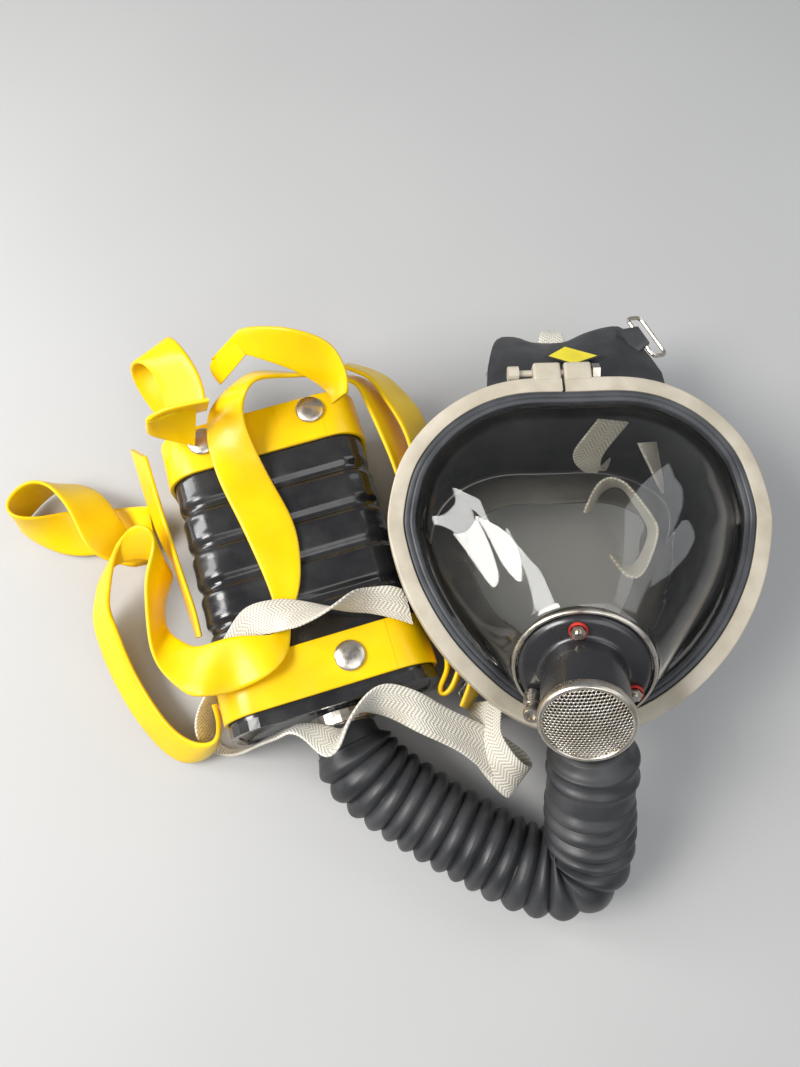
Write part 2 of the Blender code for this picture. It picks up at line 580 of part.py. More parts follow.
def make_valves(port):
    """Outlet valve under the cover, inlet valve in the hose spigot."""
    seat = turned("exhale_seat", ((15.8, 30.0), (15.8, 28.4), (1.3, 28.4), (1.3, 30.0)),
                  "black_plastic", 32, parent=port)
    for i in range(6):
        angle = math.radians(60 * i)
        spot = (8.6 * math.cos(angle), 8.6 * math.sin(angle))
        boolean(seat, rod(f"seat_hole_{i}", 3.3, (*spot, 26), (*spot, 32), 12, True, parent=port))
    turned("exhale_valve", ((0, 31.2), (13.0, 31.1), (13.0, 30.3), (1.0, 30.3), (1.0, 26.0), (0, 26.0)),
           "black_rubber", 24, parent=port)
    cover = turned("exhale_cover", ((0, 39.0), (8, 38.6), (13.4, 37.6), (18.0, 36.2), (19.0, 36.9),
                                    (COVER_RADIUS, 36.0), (COVER_RADIUS, 32.4), (18.8, 32.4),
                                    (18.8, 35.3), (17.6, 35.6), (13.2, 36.8), (7.9, 37.8), (0, 38.2)),
                   "bright_metal", 32, parent=port)
    for i, (radius, count) in enumerate(((0, 1), (5.4, 6), (10.8, 12))):
        for k in range(count):
            angle = 2 * math.pi * k / count
            spot = (radius * math.cos(angle), radius * math.sin(angle))
            boolean(cover, rod(f"vent_{i}_{k}", 1.2, (*spot, 33), (*spot, 42), 8, True, parent=port))
    inlet = Matrix.Translation((0, 0, SPIGOT_RISE * MM)) @ Matrix.Rotation(math.radians(90), 4, "X")
    reach = SPIGOT_REACH
    seat = turned("inhale_seat", ((12.3, reach - 1.0), (12.3, reach - 2.5), (1.3, reach - 2.5),
                                  (1.3, reach - 1.0)), "black_plastic", 24, parent=port, matrix=inlet)
    for i in range(5):
        angle = math.radians(72 * i)
        spot = (6.6 * math.cos(angle), -reach, SPIGOT_RISE + 6.6 * math.sin(angle))
        far = (spot[0], -reach + 6, spot[2])
        boolean(seat, rod(f"inlet_hole_{i}", 2.5, spot, far, 10, True, parent=port))
    turned("inhale_valve", ((0, reach - 0.4), (1.0, reach - 0.4), (1.0, reach - 2.8), (9.8, reach - 2.8),
                            (9.8, reach - 3.6), (0, reach - 3.6)), "black_rubber", 20,
           parent=port, matrix=inlet)


# ---- canister ---------------------------------------------------------------

def can_section(grow, y, per_corner=6):
    """The canister's rounded outline at one station along it, moved outwards by grow."""
    radius = CAN_CORNER + grow
    cx, cz = CAN_WIDE / 2 - CAN_CORNER, CAN_TALL / 2 - CAN_CORNER
    ring = []
    for sx, sz, first in ((1, 1, 0), (-1, 1, 90), (-1, -1, 180), (1, -1, 270)):
        for k in range(per_corner):
            angle = math.radians(first + 90.0 * k / (per_corner - 1))
            ring.append((sx * cx + radius * math.cos(angle), y, sz * cz + radius * math.sin(angle)))
    return ring


def neck_circle(radius, y, count=24):
    """A round section, point for point with can_section."""
    turns = np.linspace(0, 2 * math.pi, count, endpoint=False) + math.radians(8)
    return [(NECK_PLACE[0] + radius * math.cos(a), y, NECK_PLACE[1] + radius * math.sin(a))
            for a in turns]


def make_can(can):
    half = CAN_LONG / 2
    stations = [(-half, 0.0)]
    for centre in sorted(CAN_BEADS):
        for step, depth in ((-5.5, 0), (-2.2, 1), (2.2, 1), (5.5, 0)):
            stations.append((centre + step, -CAN_BEAD_DEPTH * depth))
    stations.append((half, 0.0))
    mesh = lofted("can_body", [can_section(grow, y) for y, grow in stations], around=True)
    smooth(mesh, 50)
    solidify(place(mesh, "can_body", "black_paint", can), CAN_WALL, offset=1.0)

    lid_rows = [can_section(-0.1, half + 0.75), can_section(-1.7, half + 0.75),
                can_section(-1.7, half - 3.0), can_section(-3.2, half - 3.0),
                neck_circle(16.0, half - 3.0)]
    mesh = lofted("can_lid", lid_rows, around=True)
    smooth(mesh, 50)
    solidify(place(mesh, "can_lid", "black_paint", can), CAN_WALL)

    base_rows = [can_section(0.75, -half + 3), can_section(0.75, -half - 1.6),
                 can_section(-2.2, -half - 1.6), can_section(-2.8, -half - 0.7),
                 neck_circle(NECK_RADIUS, -half - 0.7), neck_circle(NECK_RADIUS, -half - 4.6)]
    mesh = lofted("can_base", base_rows, around=True)
    smooth(mesh, 50)
    solidify(place(mesh, "can_base", "black_paint", can), CAN_WALL)

    layers = (("particulate_filter", "filter_felt", 44, 66), ("inlet_screen", "bright_metal", 41.6, 42.8),
              ("carbon_bed", "charcoal", -52, 40.4), ("outlet_screen", "bright_metal", -54.4, -53.2))
    for name, finish, low, high in layers:
        shrink = -CAN_BEAD_DEPTH - CAN_WALL - 0.6
        mesh = fix_normals(lofted(name, [can_section(shrink, low), can_section(shrink, high)],
                                  around=True, caps=True))
        smooth(mesh)
        place(mesh, name, finish, can)
    make_bed_spring(can)


def make_bed_spring(can):
    """A flat conical coil that presses the outlet screen onto the charcoal."""
    turns, low, high = 2.0, -73.0, -55.6
    points = []
    for share in np.linspace(0, 1, 33):
        angle = 2 * math.pi * turns * share
        radius = 20.0 - 6.0 * share
        points.append((radius * math.cos(angle), high + (low - high) * share, radius * math.sin(angle)))
    tube("bed_spring", points, 0.9, "bright_metal", can)


def tube(name, points, radius, finish, parent=None, radii=None, resolution=2):
    """A filled tube along a poly line, as a curve with a round bevel."""
    curve = bpy.data.curves.new(name, "CURVE")
    curve.dimensions = "3D"
    curve.bevel_depth = radius * MM
    curve.bevel_resolution = resolution
    curve.use_fill_caps = True
    line = curve.splines.new("POLY")
    line.points.add(len(points) - 1)
    for i, spot in enumerate(points):
        line.points[i].co = (*(Vector(spot) * MM), 1.0)
        line.points[i].radius = radii[i] if radii is not None else 1.0
    return place(curve, name, finish, parent)


def make_coupling(can):
    """Neck nut, gasket and the hose's metal tail, turned about the neck's axis."""
    half = CAN_LONG / 2
    neck = empty("neck_axis", (NECK_PLACE[0], -half, NECK_PLACE[1]), (90, 0, 0), can)
    turned("coupling_nut", ((16.2, 3.2), (16.2, 8.8), (12.4, 8.8), (12.4, 7.6), (14.3, 7.6),
                            (14.3, 3.2))[::-1], "bright_metal", 24, parent=neck)
    turned("coupling_gasket", ((13.9, 6.0), (13.9, 4.95), (11.6, 4.95), (11.6, 6.0)),
           "black_rubber", 24, parent=neck)
    turned("hose_tail", ((12.0, 9.4), (12.0, 7.3), (13.9, 7.3), (13.9, 6.3), (11.0, 6.3), (11.0, 9.4)),
           "bright_metal", 24, parent=neck)


# ---- harness ----------------------------------------------------------------

def make_can_band(name, top, can, finish="yellow_rubber"):
    """A rubber band drawn round the canister, its outer end lapped over the front."""
    inner, outer = 0.4, 0.4 + STRAP_THICK
    low, high = top - STRAP_WIDE + 0.5, top - 0.5
    rows = [can_section(outer, high, 5), can_section(outer, low, 5), can_section(inner, low, 5),
            can_section(inner, high, 5)]
    mesh = fix_normals(lofted(name, rows, around=True, closed_along=True))
    smooth(mesh, 50)
    place(mesh, name, finish, can)


# Each snap: across the can, along it, height of its foot over the can's front
SNAPS = {"snap_upper_right": (28.5, 71.0), "snap_upper_left": (-29.0, 69.5), "snap_lower": (13.5, -58.5)}


def make_snaps(can):
    foot = CAN_TALL / 2 + 0.4 + STRAP_THICK + 0.3
    for name, (x, y) in SNAPS.items():
        dome = [(7.4 * math.sin(a), foot + 0.9 + 1.9 * math.cos(a)) for a in
                np.linspace(0, math.pi / 2, 5)]
        profile = [(0.0, dome[0][1])] + dome[1:] + [(7.4, foot), (0.0, foot)]
        turned(name, profile, "bright_metal", 20, parent=can,
               matrix=Matrix.Translation((x * MM, y * MM, 0)))


def ribbon(name, stations, thick, finish, parent, spacing=7.0):
    """A flat strap through stations that give both of its edges."""
    both = np.array(stations, dtype=float)
    middle = (both[:, :3] + both[:, 3:]) / 2
    length = np.linalg.norm(np.diff(middle, axis=0), axis=1).sum()
    count = max(len(stations), int(length / spacing) + 2)
    line = smooth_line(both, count)
    rows = [[row[:3], row[3:]] for row in line]
    mesh = lofted(name, rows)
    smooth(mesh, 60)
    obj = place(mesh, name, finish, parent)
    mod = obj.modifiers.new("thickness", "SOLIDIFY")
    mod.thickness = thick * MM
    mod.offset = 0.0
    return obj


def make_hose(layout):
    count = 34
    line = smooth_line(HOSE_ROUTE, count)
    ends = np.minimum(np.arange(count), np.arange(count)[::-1]) / 4.0
    grow = np.clip(ends, 0, 1)
    radii = (HOSE_CUFF_RADIUS + (HOSE_RADIUS - HOSE_CUFF_RADIUS) * grow) / HOSE_RADIUS
    tube("breathing_hose", line, HOSE_RADIUS, "black_rubber", layout, radii, 4)


def build():
    layout = empty("layout", (-FOOTPRINT_CENTRE[0], -FOOTPRINT_CENTRE[1], 0))
    mask = empty("mask_frame", MASK_PLACE, (0, 0, MASK_TURN), layout)
    make_frame_rings(mask)
    make_clamp_band(mask)
    make_lens(mask)
    make_forehead(mask)
    make_buckles(mask)
    port = empty("port_axis", PORT_PLACE, (PORT_TILT, PORT_LEAN, 0), mask)
    make_port(mask, port)
    make_valves(port)
    can = empty("can_frame", CAN_PLACE, (0, 0, CAN_TURN), layout)
    make_can(can)
    make_coupling(can)
    make_can_band("upper_band", UPPER_BAND_TOP, can)
    make_can_band("lower_band", LOWER_BAND_TOP, can)
    make_snaps(can)
    for name, stations in RUBBER_ROUTES.items():
        ribbon(name, stations, STRAP_THICK, "yellow_rubber", layout)
    for name, stations in WEBBING_ROUTES.items():
        ribbon(name, stations, WEB_THICK, "cotton", layout)
    for name, stations in HEAD_ROUTES.items():
        ribbon(name, stations, WEB_THICK, "cotton", layout)
    make_hose(layout)


def main():
    for obj in list(bpy.data.objects):
        bpy.data.objects.remove(obj, do_unlink=True)
    for name in (COLLECTION, "cutters"):
        group = bpy.data.collections.new(name)
        bpy.context.scene.collection.children.link(group)
    build()


main()
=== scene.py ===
"""Looks of the full face respirator: finer shells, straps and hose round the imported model,
a material for every surface, the floor, the lights and the camera.

Shapes are worked out in millimetres, each in the frame of the layout, the mask, the valve
housing or the canister. put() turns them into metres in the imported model's frame and says
which body each one rides on.
"""

import math

import bmesh
import bpy
import numpy as np
from mathutils import Euler, Matrix, Vector


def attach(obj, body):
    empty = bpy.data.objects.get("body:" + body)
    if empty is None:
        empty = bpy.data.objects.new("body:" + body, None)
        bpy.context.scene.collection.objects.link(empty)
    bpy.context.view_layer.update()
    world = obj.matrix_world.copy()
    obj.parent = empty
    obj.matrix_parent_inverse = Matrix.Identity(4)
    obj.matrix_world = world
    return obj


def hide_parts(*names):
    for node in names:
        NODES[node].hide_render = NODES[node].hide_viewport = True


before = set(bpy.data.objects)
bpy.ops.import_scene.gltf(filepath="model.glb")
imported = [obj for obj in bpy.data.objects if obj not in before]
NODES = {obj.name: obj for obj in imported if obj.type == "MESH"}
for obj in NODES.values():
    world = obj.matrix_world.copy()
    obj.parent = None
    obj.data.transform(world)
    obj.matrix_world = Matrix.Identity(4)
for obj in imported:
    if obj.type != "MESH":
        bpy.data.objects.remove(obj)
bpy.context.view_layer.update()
BASE = "respirator"            # the body that everything fixed rides on

MM = 0.001
FOOTPRINT_CENTRE = (-21.26, -16.44)   # middle of the footprint, on the layout

MASK_PLACE, MASK_TURN = (85.5, -32.0, 0.0), 1.5      # layout place, degrees about Z
CAN_PLACE, CAN_TURN = (-53.4, -29.4, 30.4), 17.0

# Half of the clamp band's outer edge, forehead to chin: across, up the face
FRAME_HALF = ((0, 78), (29, 77.5), (51, 71.5), (70, 59.5), (84, 42), (90.5, 20),
              (90, 3), (82.5, -22), (68, -47), (48, -67.5), (26, -80.5), (0, -86))
# Height of that edge over the table, by place up the face
FRAME_RISE = ((-90, 50.5), (-76, 58), (-60, 67), (-30, 73.5), (20, 80), (55, 88.5), (80, 97))
SPLIT_ACROSS = -5.5               # where the band's two ends meet at the forehead
BAND_WIDTH, BAND_WALL, BAND_THICK = 7.6, 7.0, 1.4
BEAD_WIDTH, GROOVE_DEPTH = 5.8, 5.4
LENS_THICK = 1.8
LENS_DROP = 5.0                     # the lens's rim, below the band's outer edge
LENS_SINK = 1.1                     # the lens at the port, below the port's own plane
LENS_HOLE = 27.2                    # radius of its round opening
LENS_ROWS = 26
LENS_STEEP_AT = (-75, -55, -40, 10, 65)    # places up the face, chin to forehead
LENS_STEEP = (76, 70, 66, 58, 24)          # degrees the lens rises from its rim there
SKIRT_THICK, SEAL_THICK = 2.4, 1.6

# Forehead flap: its root under the band and its free edge, from left to right
FLAP_ROOT = ((-40, 74, 75.5), (-24, 78.5, 80.5), (-5, 80.3, 82), (14, 80, 81.5), (36, 76.5, 79),
             (51, 72, 76))
FLAP_TIP = ((-36, 104, 62), (-29.5, 125, 54), (-19.5, 126.5, 54), (-10, 121.5, 56),
            (6, 121, 56.5), (18.5, 127, 55.5), (31, 131.5, 54), (39.5, 130, 55), (48, 113, 60),
            (53, 96, 66))
FLAP_THICK, FLAP_CROWN = 2.2, 3.0
LABEL_PLACE = (0, 101.8, 74.5)
LABEL_CORNERS = ((2.8, 9.4, -3.8), (19.9, -0.7, 2.0), (4.0, -9.5, 8.6), (-9.0, -0.5, 2.6))
LABEL_HALF_THICK, LABEL_LIFT = 0.25, 0.16
LABEL_FIELD_SHARE = 0.86            # the yellow field, as a share of the label

PORT_PLACE = (-7.0, -58.6, 85.0)     # on the mask: middle of the lens's round opening
PORT_TILT, PORT_LEAN = 47.0, -15.0   # degrees the port's axis leans down the face, and left
PORT_RADIUS = 30.6
HOUSING_RADIUS, HOUSING_BORE, HOUSING_TALL = 18.6, 16.4, 34.0
SPIGOT_RADIUS, SPIGOT_BORE, SPIGOT_REACH, SPIGOT_RISE = 14.5, 12.6, 25.5, 17.5
COVER_RADIUS = 19.9
VENT_RADIUS, VENT_TOP, VENT_DOME, VENT_THICK = 18.0, 38.9, 3.0, 0.9   # its pierced sheet
VENT_PITCH, VENT_HOLE = 1.66, 0.63  # between its holes, and each hole's radius
SCREW_SPOTS = ((0, 23.2), (20.0, -11.6), (-23.3, -9.1))   # top, right, left, on the flange

CAN_WIDE, CAN_TALL, CAN_LONG = 101.0, 55.2, 152.0
CAN_CORNER = 16.0
CAN_BEADS, CAN_BEAD_DEPTH = (37.0, 16.0, -5.0, -26.0), 1.6
CAN_WALL = 0.8
STRAP_THICK, STRAP_WIDE = 2.3, 26.0
UPPER_BAND_TOP, LOWER_BAND_TOP = 80.0, -45.5
BAND_GAP = 0.4                       # between the canister and its rubber bands
LAP_END = 33.5                       # where a band's outer end stops, across the canister
LAP_STARTS = {"upper_band": 12.0, "lower_band": -4.5}
WEB_THICK = 1.5

# Middle of the hose from the canister's neck to the valve housing, on the layout
HOSE_ROUTE = (
    (-26.8, -111.1, 31), (-24.2, -119.6, 31), (-18, -129, 29.5), (-8, -138, 26.5), (6, -147, 24),
    (22, -156.5, 22.5), (39, -165.5, 22), (55, -173.5, 22), (69.5, -177.5, 22.5),
    (81, -176.5, 25.5),
    (86.8, -169.5, 31), (87.6, -159.5, 39.5), (86.2, -150.5, 49), (84.9, -142, 57.7),
    (84.8, -134.5, 65), (84.2, -127, 72.2), (82.9, -121.9, 77.5),
)

# Loose straps, on the layout: each six numbers are one station, with the place of the
# strap's first edge and then of its second edge
RUBBER_ROUTES = {
    "shoulder_strap": (
        (-46, 71, 54, -42, 62, 72), (-60, 70, 58, -56, 59, 75), (-77, 64, 69, -71, 51, 86),
        (-89, 54, 68, -76, 42, 86), (-97, 46, 66, -78, 38, 79),
        (-98, 30, 66, -76, 29, 73), (-91, 7, 65, -67, 11, 62), (-77, -20, 62.5, -52, -17, 60),
        (-64, -47, 62, -48, -45, 60.5), (-58, -64, 62.5, -52, -65, 61.2),
        (-58, -71, 64, -51, -77, 61.7), (-62, -73, 65.5, -55, -88, 67.5),
        (-70, -73, 67, -64, -94, 67), (-81, -74, 66, -77, -99, 63), (-90, -77, 64, -87, -101, 68),
        (-99, -76, 56, -97, -100, 64), (-117, -64, 36, -117, -83, 52),
        (-123, -49, 27, -124, -59, 50), (-119, -36, 31, -125, -38, 55),
        (-119, -33, 35, -121, -25, 58), (-129, -27, 39, -124, -18, 62),
        (-145, -29, 37, -135, -16, 56), (-157, -35, 28, -144, -25, 47),
        (-163, -45, 16, -149, -49, 36), (-165, -55, 9, -148, -58, 27),
        (-155, -81, 1.6, -137, -83, 18), (-135, -109, 1.6, -118, -108, 19),
        (-114, -126, 1.6, -103, -118, 22), (-96, -122, 8, -90, -118, 31),
        (-91, -108, 17, -87, -109, 42), (-93, -100, 21, -89, -102, 45.6),
    ),
    "front_loop": (
        (-35, 49, 63.5, -26, 43, 86.4), (-35, 52, 68, -25, 48, 90), (-49, 57, 80, -33, 63, 98),
        (-68, 63, 84, -52, 69, 102), (-85, 69, 81, -67, 73, 98), (-97, 68, 75, -80, 76, 91.5),
        (-99, 65, 71, -82, 73, 88), (-93, 59, 66, -77, 66, 84),
    ),
    "left_loop": (
        (-136, 6, 28, -136, -10, 8), (-143, 9, 20, -140, -14, 11), (-153, 11, 13, -151, -12, 5),
        (-165, 11, 10, -164, -13, 2.3), (-185, 7, 17, -187, -14, 3), (-198, 1, 24, -208, -5, 2),
        (-212, 1, 27, -218, 4, 3), (-215, 8, 27, -214, 7, 2), (-207, 20, 27, -205, 20, 2),
        (-193, 18, 30, -190, 27, 6.7), (-177, 2, 35, -167, 17, 18), (-166, -17, 35, -152, -1, 22),
        (-160, -23, 31, -147, -8, 16), (-151, -26, 28, -142, -13, 8.6),
        (-141, -27, 26, -135, -17, 4),
    ),
    "top_loop": (
        (-120, 41, 63, -97, 41, 74), (-123, 55, 68, -100, 55, 78), (-131, 67, 71, -109, 70, 81),
        (-141, 71, 66, -120, 83, 74), (-143, 68, 54, -123, 80, 64), (-135, 56, 46, -115, 63, 59),
        (-126, 46, 42, -107, 51, 53),
    ),
    "folded_strap": (
        (-104, 25, 65, -99, 37, 86), (-115, 27, 66, -109, 31, 90), (-124, 29, 67, -118, 28, 88),
        (-129, 29, 70, -123, 26, 87), (-124, 31, 75, -119, 27, 92), (-114, 35, 76, -110, 30, 95),
        (-97, 40, 75, -90, 33, 98),
    ),
    "right_strap": (
        (-36, 66, 60, -33, 78, 41), (-24, 63, 62, -21, 77, 41), (-16, 47, 61, -7, 62, 43),
        (-5, 21, 59, 4, 34, 40),
        (1, 5, 57, 8, 14, 35), (5, 5, 57, 13, 14, 35), (8, 12, 57, 17, 23, 37),
        (2, 36, 59, 13, 51, 42), (-11, 58, 61, -2, 72, 42), (-17, 66, 62, -12, 80, 42),
        (-30, 72, 62, -28, 84, 44),
    ),
    "spare_loop": (
        (20, -76, 58, 24, -70, 34), (23, -86, 54, 26, -80, 30), (18, -95, 49, 21, -90, 25),
        (19, -99, 48, 22, -96, 23), (22, -99, 49, 25, -95, 25), (27, -89, 53, 31, -84, 29),
        (29, -82, 54, 33, -77, 30), (31, -79, 52.5, 37, -76, 28), (34, -83, 51, 41, -82, 27),
        (34, -90, 50, 42, -89, 26), (29, -103, 46, 34, -102, 22),
    ),
    "side_strap": (
        (-133, 25, 50, -147, 37, 34), (-123, -2, 50, -136, 7, 31),
        (-116, -20, 50, -128, -12, 29.4), (-109, -38, 50, -117.5, -32, 28),
        (-101, -57, 50, -110, -51, 27), (-97, -70, 50, -104, -66, 26.5),
    ),
}
WEBBING_ROUTES = {
    "neck_webbing": (
        (-84, -75, 60.7, -76, -80, 60), (-79, -65, 60.6, -70, -74, 61.8),
        (-75, -59, 60.8, -66, -72, 60.6), (-68, -57, 64.6, -60, -72, 66),
        (-57, -55, 64.2, -52, -72, 74.3), (-47, -56, 64.6, -45, -71, 78),
        (-34, -59, 64.6, -32, -65, 83.7), (-24, -61, 63.5, -23, -57, 83),
        (-17, -61, 62.5, -18, -53, 76), (-7, -63, 62.8, -9, -51, 72.3),
        (1, -65, 62, -3, -50, 70.5), (6, -67, 62.2, 2, -51, 66.4),
    ),
    "waist_webbing": (
        (-95, -94, 34, -92, -93, 16), (-101, -100, 24, -95, -99, 7),
        (-104, -108, 19, -97, -106, 2.5), (-103, -115, 17, -95, -112, 3),
        (-101, -120, 2, -95, -116, 0.9), (-92, -123, 3, -87, -120, 2.2),
        (-81, -123, 16, -77, -119, 8.3), (-66, -120, 40, -63, -116, 31.4),
        (-55, -118, 54, -52, -113, 44.5), (-48, -116, 57, -45, -111, 47.6),
        (-35, -127, 60, -30, -113, 50), (-29, -127, 62, -27, -115, 46.7),
        (-22, -110, 68, -21, -106, 48.5), (-10, -96, 67, -7, -108, 51.5),
        (6, -97, 61, 8, -116, 57), (23, -105, 52, 27, -124, 51), (43, -113, 44, 40, -133, 43),
        (59, -123, 39, 50, -140, 37.4), (63, -127, 39, 52, -143, 37),
        (63, -130, 41, 52, -145, 33), (56, -129, 50, 45, -140, 38), (48, -118, 51, 35, -127, 39),
        (47, -112, 51, 32, -117, 38.4), (49, -100, 47, 36, -100, 31.4),
    ),
}
HEAD_ROUTES = {
    "crown_strap": (
        (96, 29, 84, 113, 31, 77), (88, 21, 73, 103, 21, 64), (86, 18, 66, 102, 17, 57.7),
        (93, 14, 57, 108, 18, 48), (101, 15, 52, 112, 27, 44),
    ),
    "strap_loop": (
        (94, -6, 50, 101, 0, 34.5), (102, 9, 56, 108, 11, 39.4), (112, 9, 58, 117, 12, 41),
        (121, -2, 57, 123, 3, 40), (130, -15, 53, 131, -10, 36), (127, -27, 51, 128, -20, 34.6),
        (121, -39, 50, 123, -28, 35), (114, -41, 49, 118, -31, 35.4),
        (106, -28, 48, 113, -24, 32),
    ),
    "temple_strap": (
        (117, 21, 75, 130, 27, 64), (127, 11, 62, 137, 13, 47.4), (132, 8, 54, 140, 9, 38),
    ),
    "crown_loop": (
        (76, 90, 48, 90, 88, 50.3), (77, 98, 50, 91, 98, 49.4), (80, 104, 46, 91, 108, 39),
        (82, 107, 40, 92, 112, 32),
    ),
}

# Each snap: across the can, along it
SNAPS = {
    "snap_upper_right": (28.5, 71.0),
    "snap_upper_left": (-29.0, 69.5),
    "snap_lower": (13.5, -58.5),
}
# Each buckle's rubber tab, on the mask: its root, the buckle's bar, turn about Z, width
BUCKLE_TABS = {
    "forehead_tab_right": ((38, 116.7, 62.5), (46.2, 120.6, 62.2), 26, 15),
    "forehead_tab_left": ((-16, 106, 62.5), (-20, 113, 44), 122, 12),
    "cheek_tab_right": ((35.2, -49, 8), (41, -56, 10), -50, 14),
    "cheek_tab_left": ((-34.2, -50, 8), (-40, -57, 10), -130, 14),
}
TAB_THICK = 3.6
FINE_STEPS = 224                 # stations round the mask
HOSE_RIBS = 20
HOSE_VALLEY, HOSE_RIB_RISE = 17.3, 3.5
HOSE_TAIL_LONG, HOSE_CUFF_LONG = 9.0, 27.0   # its plain ends, at the canister and the mask
HOSE_STATIONS = 620

VIEW_DISTANCE, VIEW_ELEVATION, VIEW_LENS = 0.46, 71.0, 27.1   # metres, degrees, mm

# ---- placing and common shapes ----------------------------------------------

def frame_of(place, turn=(0.0, 0.0, 0.0)):
    """A frame's matrix in metres, from its place in mm and its turn in degrees."""
    angles = Euler([math.radians(angle) for angle in turn])
    return Matrix.Translation(Vector(place) * MM) @ angles.to_matrix().to_4x4()


LAYOUT = frame_of((-FOOTPRINT_CENTRE[0], -FOOTPRINT_CENTRE[1], 0))
MASK = LAYOUT @ frame_of(MASK_PLACE, (0, 0, MASK_TURN))
PORT_ON_MASK = frame_of(PORT_PLACE, (PORT_TILT, PORT_LEAN, 0))
PORT = MASK @ PORT_ON_MASK
CAN = LAYOUT @ frame_of(CAN_PLACE, (0, 0, CAN_TURN))


def put(name, mesh, matrix, material, nodes=(), body=BASE, smooth=180.0):
    """Make a piece of a mesh in mm; it rides on a body and may stand for some CAD nodes."""
    mesh.transform(matrix @ Matrix.Scale(MM, 4))
    mesh.materials.append(material)
    if smooth:
        mesh.shade_smooth()
        if smooth < 180.0:
            mesh.set_sharp_from_angle(angle=math.radians(smooth))
    piece = bpy.data.objects.new(name, mesh)
    bpy.context.scene.collection.objects.link(piece)
    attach(piece, body)
    if nodes:
        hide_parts(*nodes)
    return piece


def mesh_from(name, points, faces):
    mesh = bpy.data.meshes.new(name)
    mesh.from_pydata([tuple(point) for point in points], [], faces)
    return mesh


def facing_out(mesh, weld=0.0):
    """The mesh with its faces turned outward, and points nearer than weld made one."""
    shape = bmesh.new()
    shape.from_mesh(mesh)
    if weld:
        bmesh.ops.remove_doubles(shape, verts=shape.verts, dist=weld)
    bmesh.ops.recalc_face_normals(shape, faces=shape.faces)
    shape.to_mesh(mesh)
    shape.free()
    return mesh


def lofted(name, rows, around=False, closed_along=False, caps=False):
    """Quads between rows of points; around joins each row's ends."""
    width = len(rows[0])
    points = [point for row in rows for point in row]
    faces = []
    for i in range(len(rows) if closed_along else len(rows) - 1):
        j = (i + 1) % len(rows)
        for k in range(width if around else width - 1):
            m = (k + 1) % width
            faces.append((i * width + k, i * width + m, j * width + m, j * width + k))
    if caps:
        last = (len(rows) - 1) * width
        faces.append(tuple(range(width - 1, -1, -1)))
        faces.append(tuple(last + k for k in range(width)))
    return mesh_from(name, points, faces)


def unit(vectors):
    """The vectors of an array of any shape, each made 1 long."""
    return vectors / np.maximum(np.linalg.norm(vectors, axis=-1, keepdims=True), 1e-9)


def travelled(line):
    """How far along a line each of its points is."""
    steps = np.linalg.norm(np.diff(line, axis=0), axis=1)
    return np.concatenate(([0.0], np.cumsum(steps)))


def thick_sheet(name, rows, thickness, around=True):
    """A closed shell of some thickness about a grid of points, with rounded edges."""
    grid = np.array(rows, dtype=float)
    along = np.gradient(grid, axis=0)
    if around:
        across = (np.roll(grid, -1, axis=1) - np.roll(grid, 1, axis=1)) / 2
    else:
        across = np.gradient(grid, axis=1)
    half = unit(np.cross(along, across)) * thickness / 2
    edge = unit(along) * thickness * 0.25
    first = [grid[0] - edge[0] + half[0] * 0.5, grid[0] - edge[0] - half[0] * 0.5]
    last = [grid[-1] + edge[-1] + half[-1] * 0.5, grid[-1] + edge[-1] - half[-1] * 0.5]
    shell = [first[0], *(grid + half), *last, *(grid - half)[::-1], first[1]]
    if around:
        return facing_out(lofted(name, shell, around=True, closed_along=True))
    shell = np.array(shell)
    mesh = lofted(name, np.swapaxes(shell, 0, 1), around=True, caps=True)
    return facing_out(mesh)


def turned_mesh(name, profile, steps=96):
    """A profile of (radius, height) turned about Z; closed unless it starts on the axis."""
    on_axis = profile[0][0] == 0.0 and profile[-1][0] == 0.0
    rows = []
    turns = np.linspace(0, 2 * math.pi, steps, endpoint=False)
    for radius, height in profile:
        rows.append([(max(radius, 1e-4) * math.cos(a), max(radius, 1e-4) * math.sin(a), height)
                     for a in turns])
    return facing_out(lofted(name, rows, around=True, closed_along=not on_axis), weld=0.001)


def bevelled_block(size, centre, bevel):
    mesh = bpy.data.meshes.new("block")
    shape = bmesh.new()
    bmesh.ops.create_cube(shape, size=1.0)
    bmesh.ops.scale(shape, vec=Vector(size), verts=shape.verts)
    bmesh.ops.translate(shape, vec=Vector(centre), verts=shape.verts)
    bmesh.ops.bevel(shape, geom=shape.edges[:], offset=bevel, segments=4, profile=0.5,
                    affect="EDGES")
    shape.to_mesh(mesh)
    shape.free()
    return mesh


def rod_mesh(radius, start, end, steps=48):
    start, end = Vector(start), Vector(end)
    mesh = bpy.data.meshes.new("rod")
    shape = bmesh.new()
    bmesh.ops.create_cone(shape, cap_ends=True, segments=steps, radius1=radius,
                          radius2=radius, depth=(end - start).length)
    turn = (end - start).to_track_quat("Z", "Y").to_matrix().to_4x4()
    bmesh.ops.transform(shape, matrix=Matrix.Translation((start + end) / 2) @ turn,
                        verts=shape.verts)
    shape.to_mesh(mesh)
    shape.free()
    return mesh


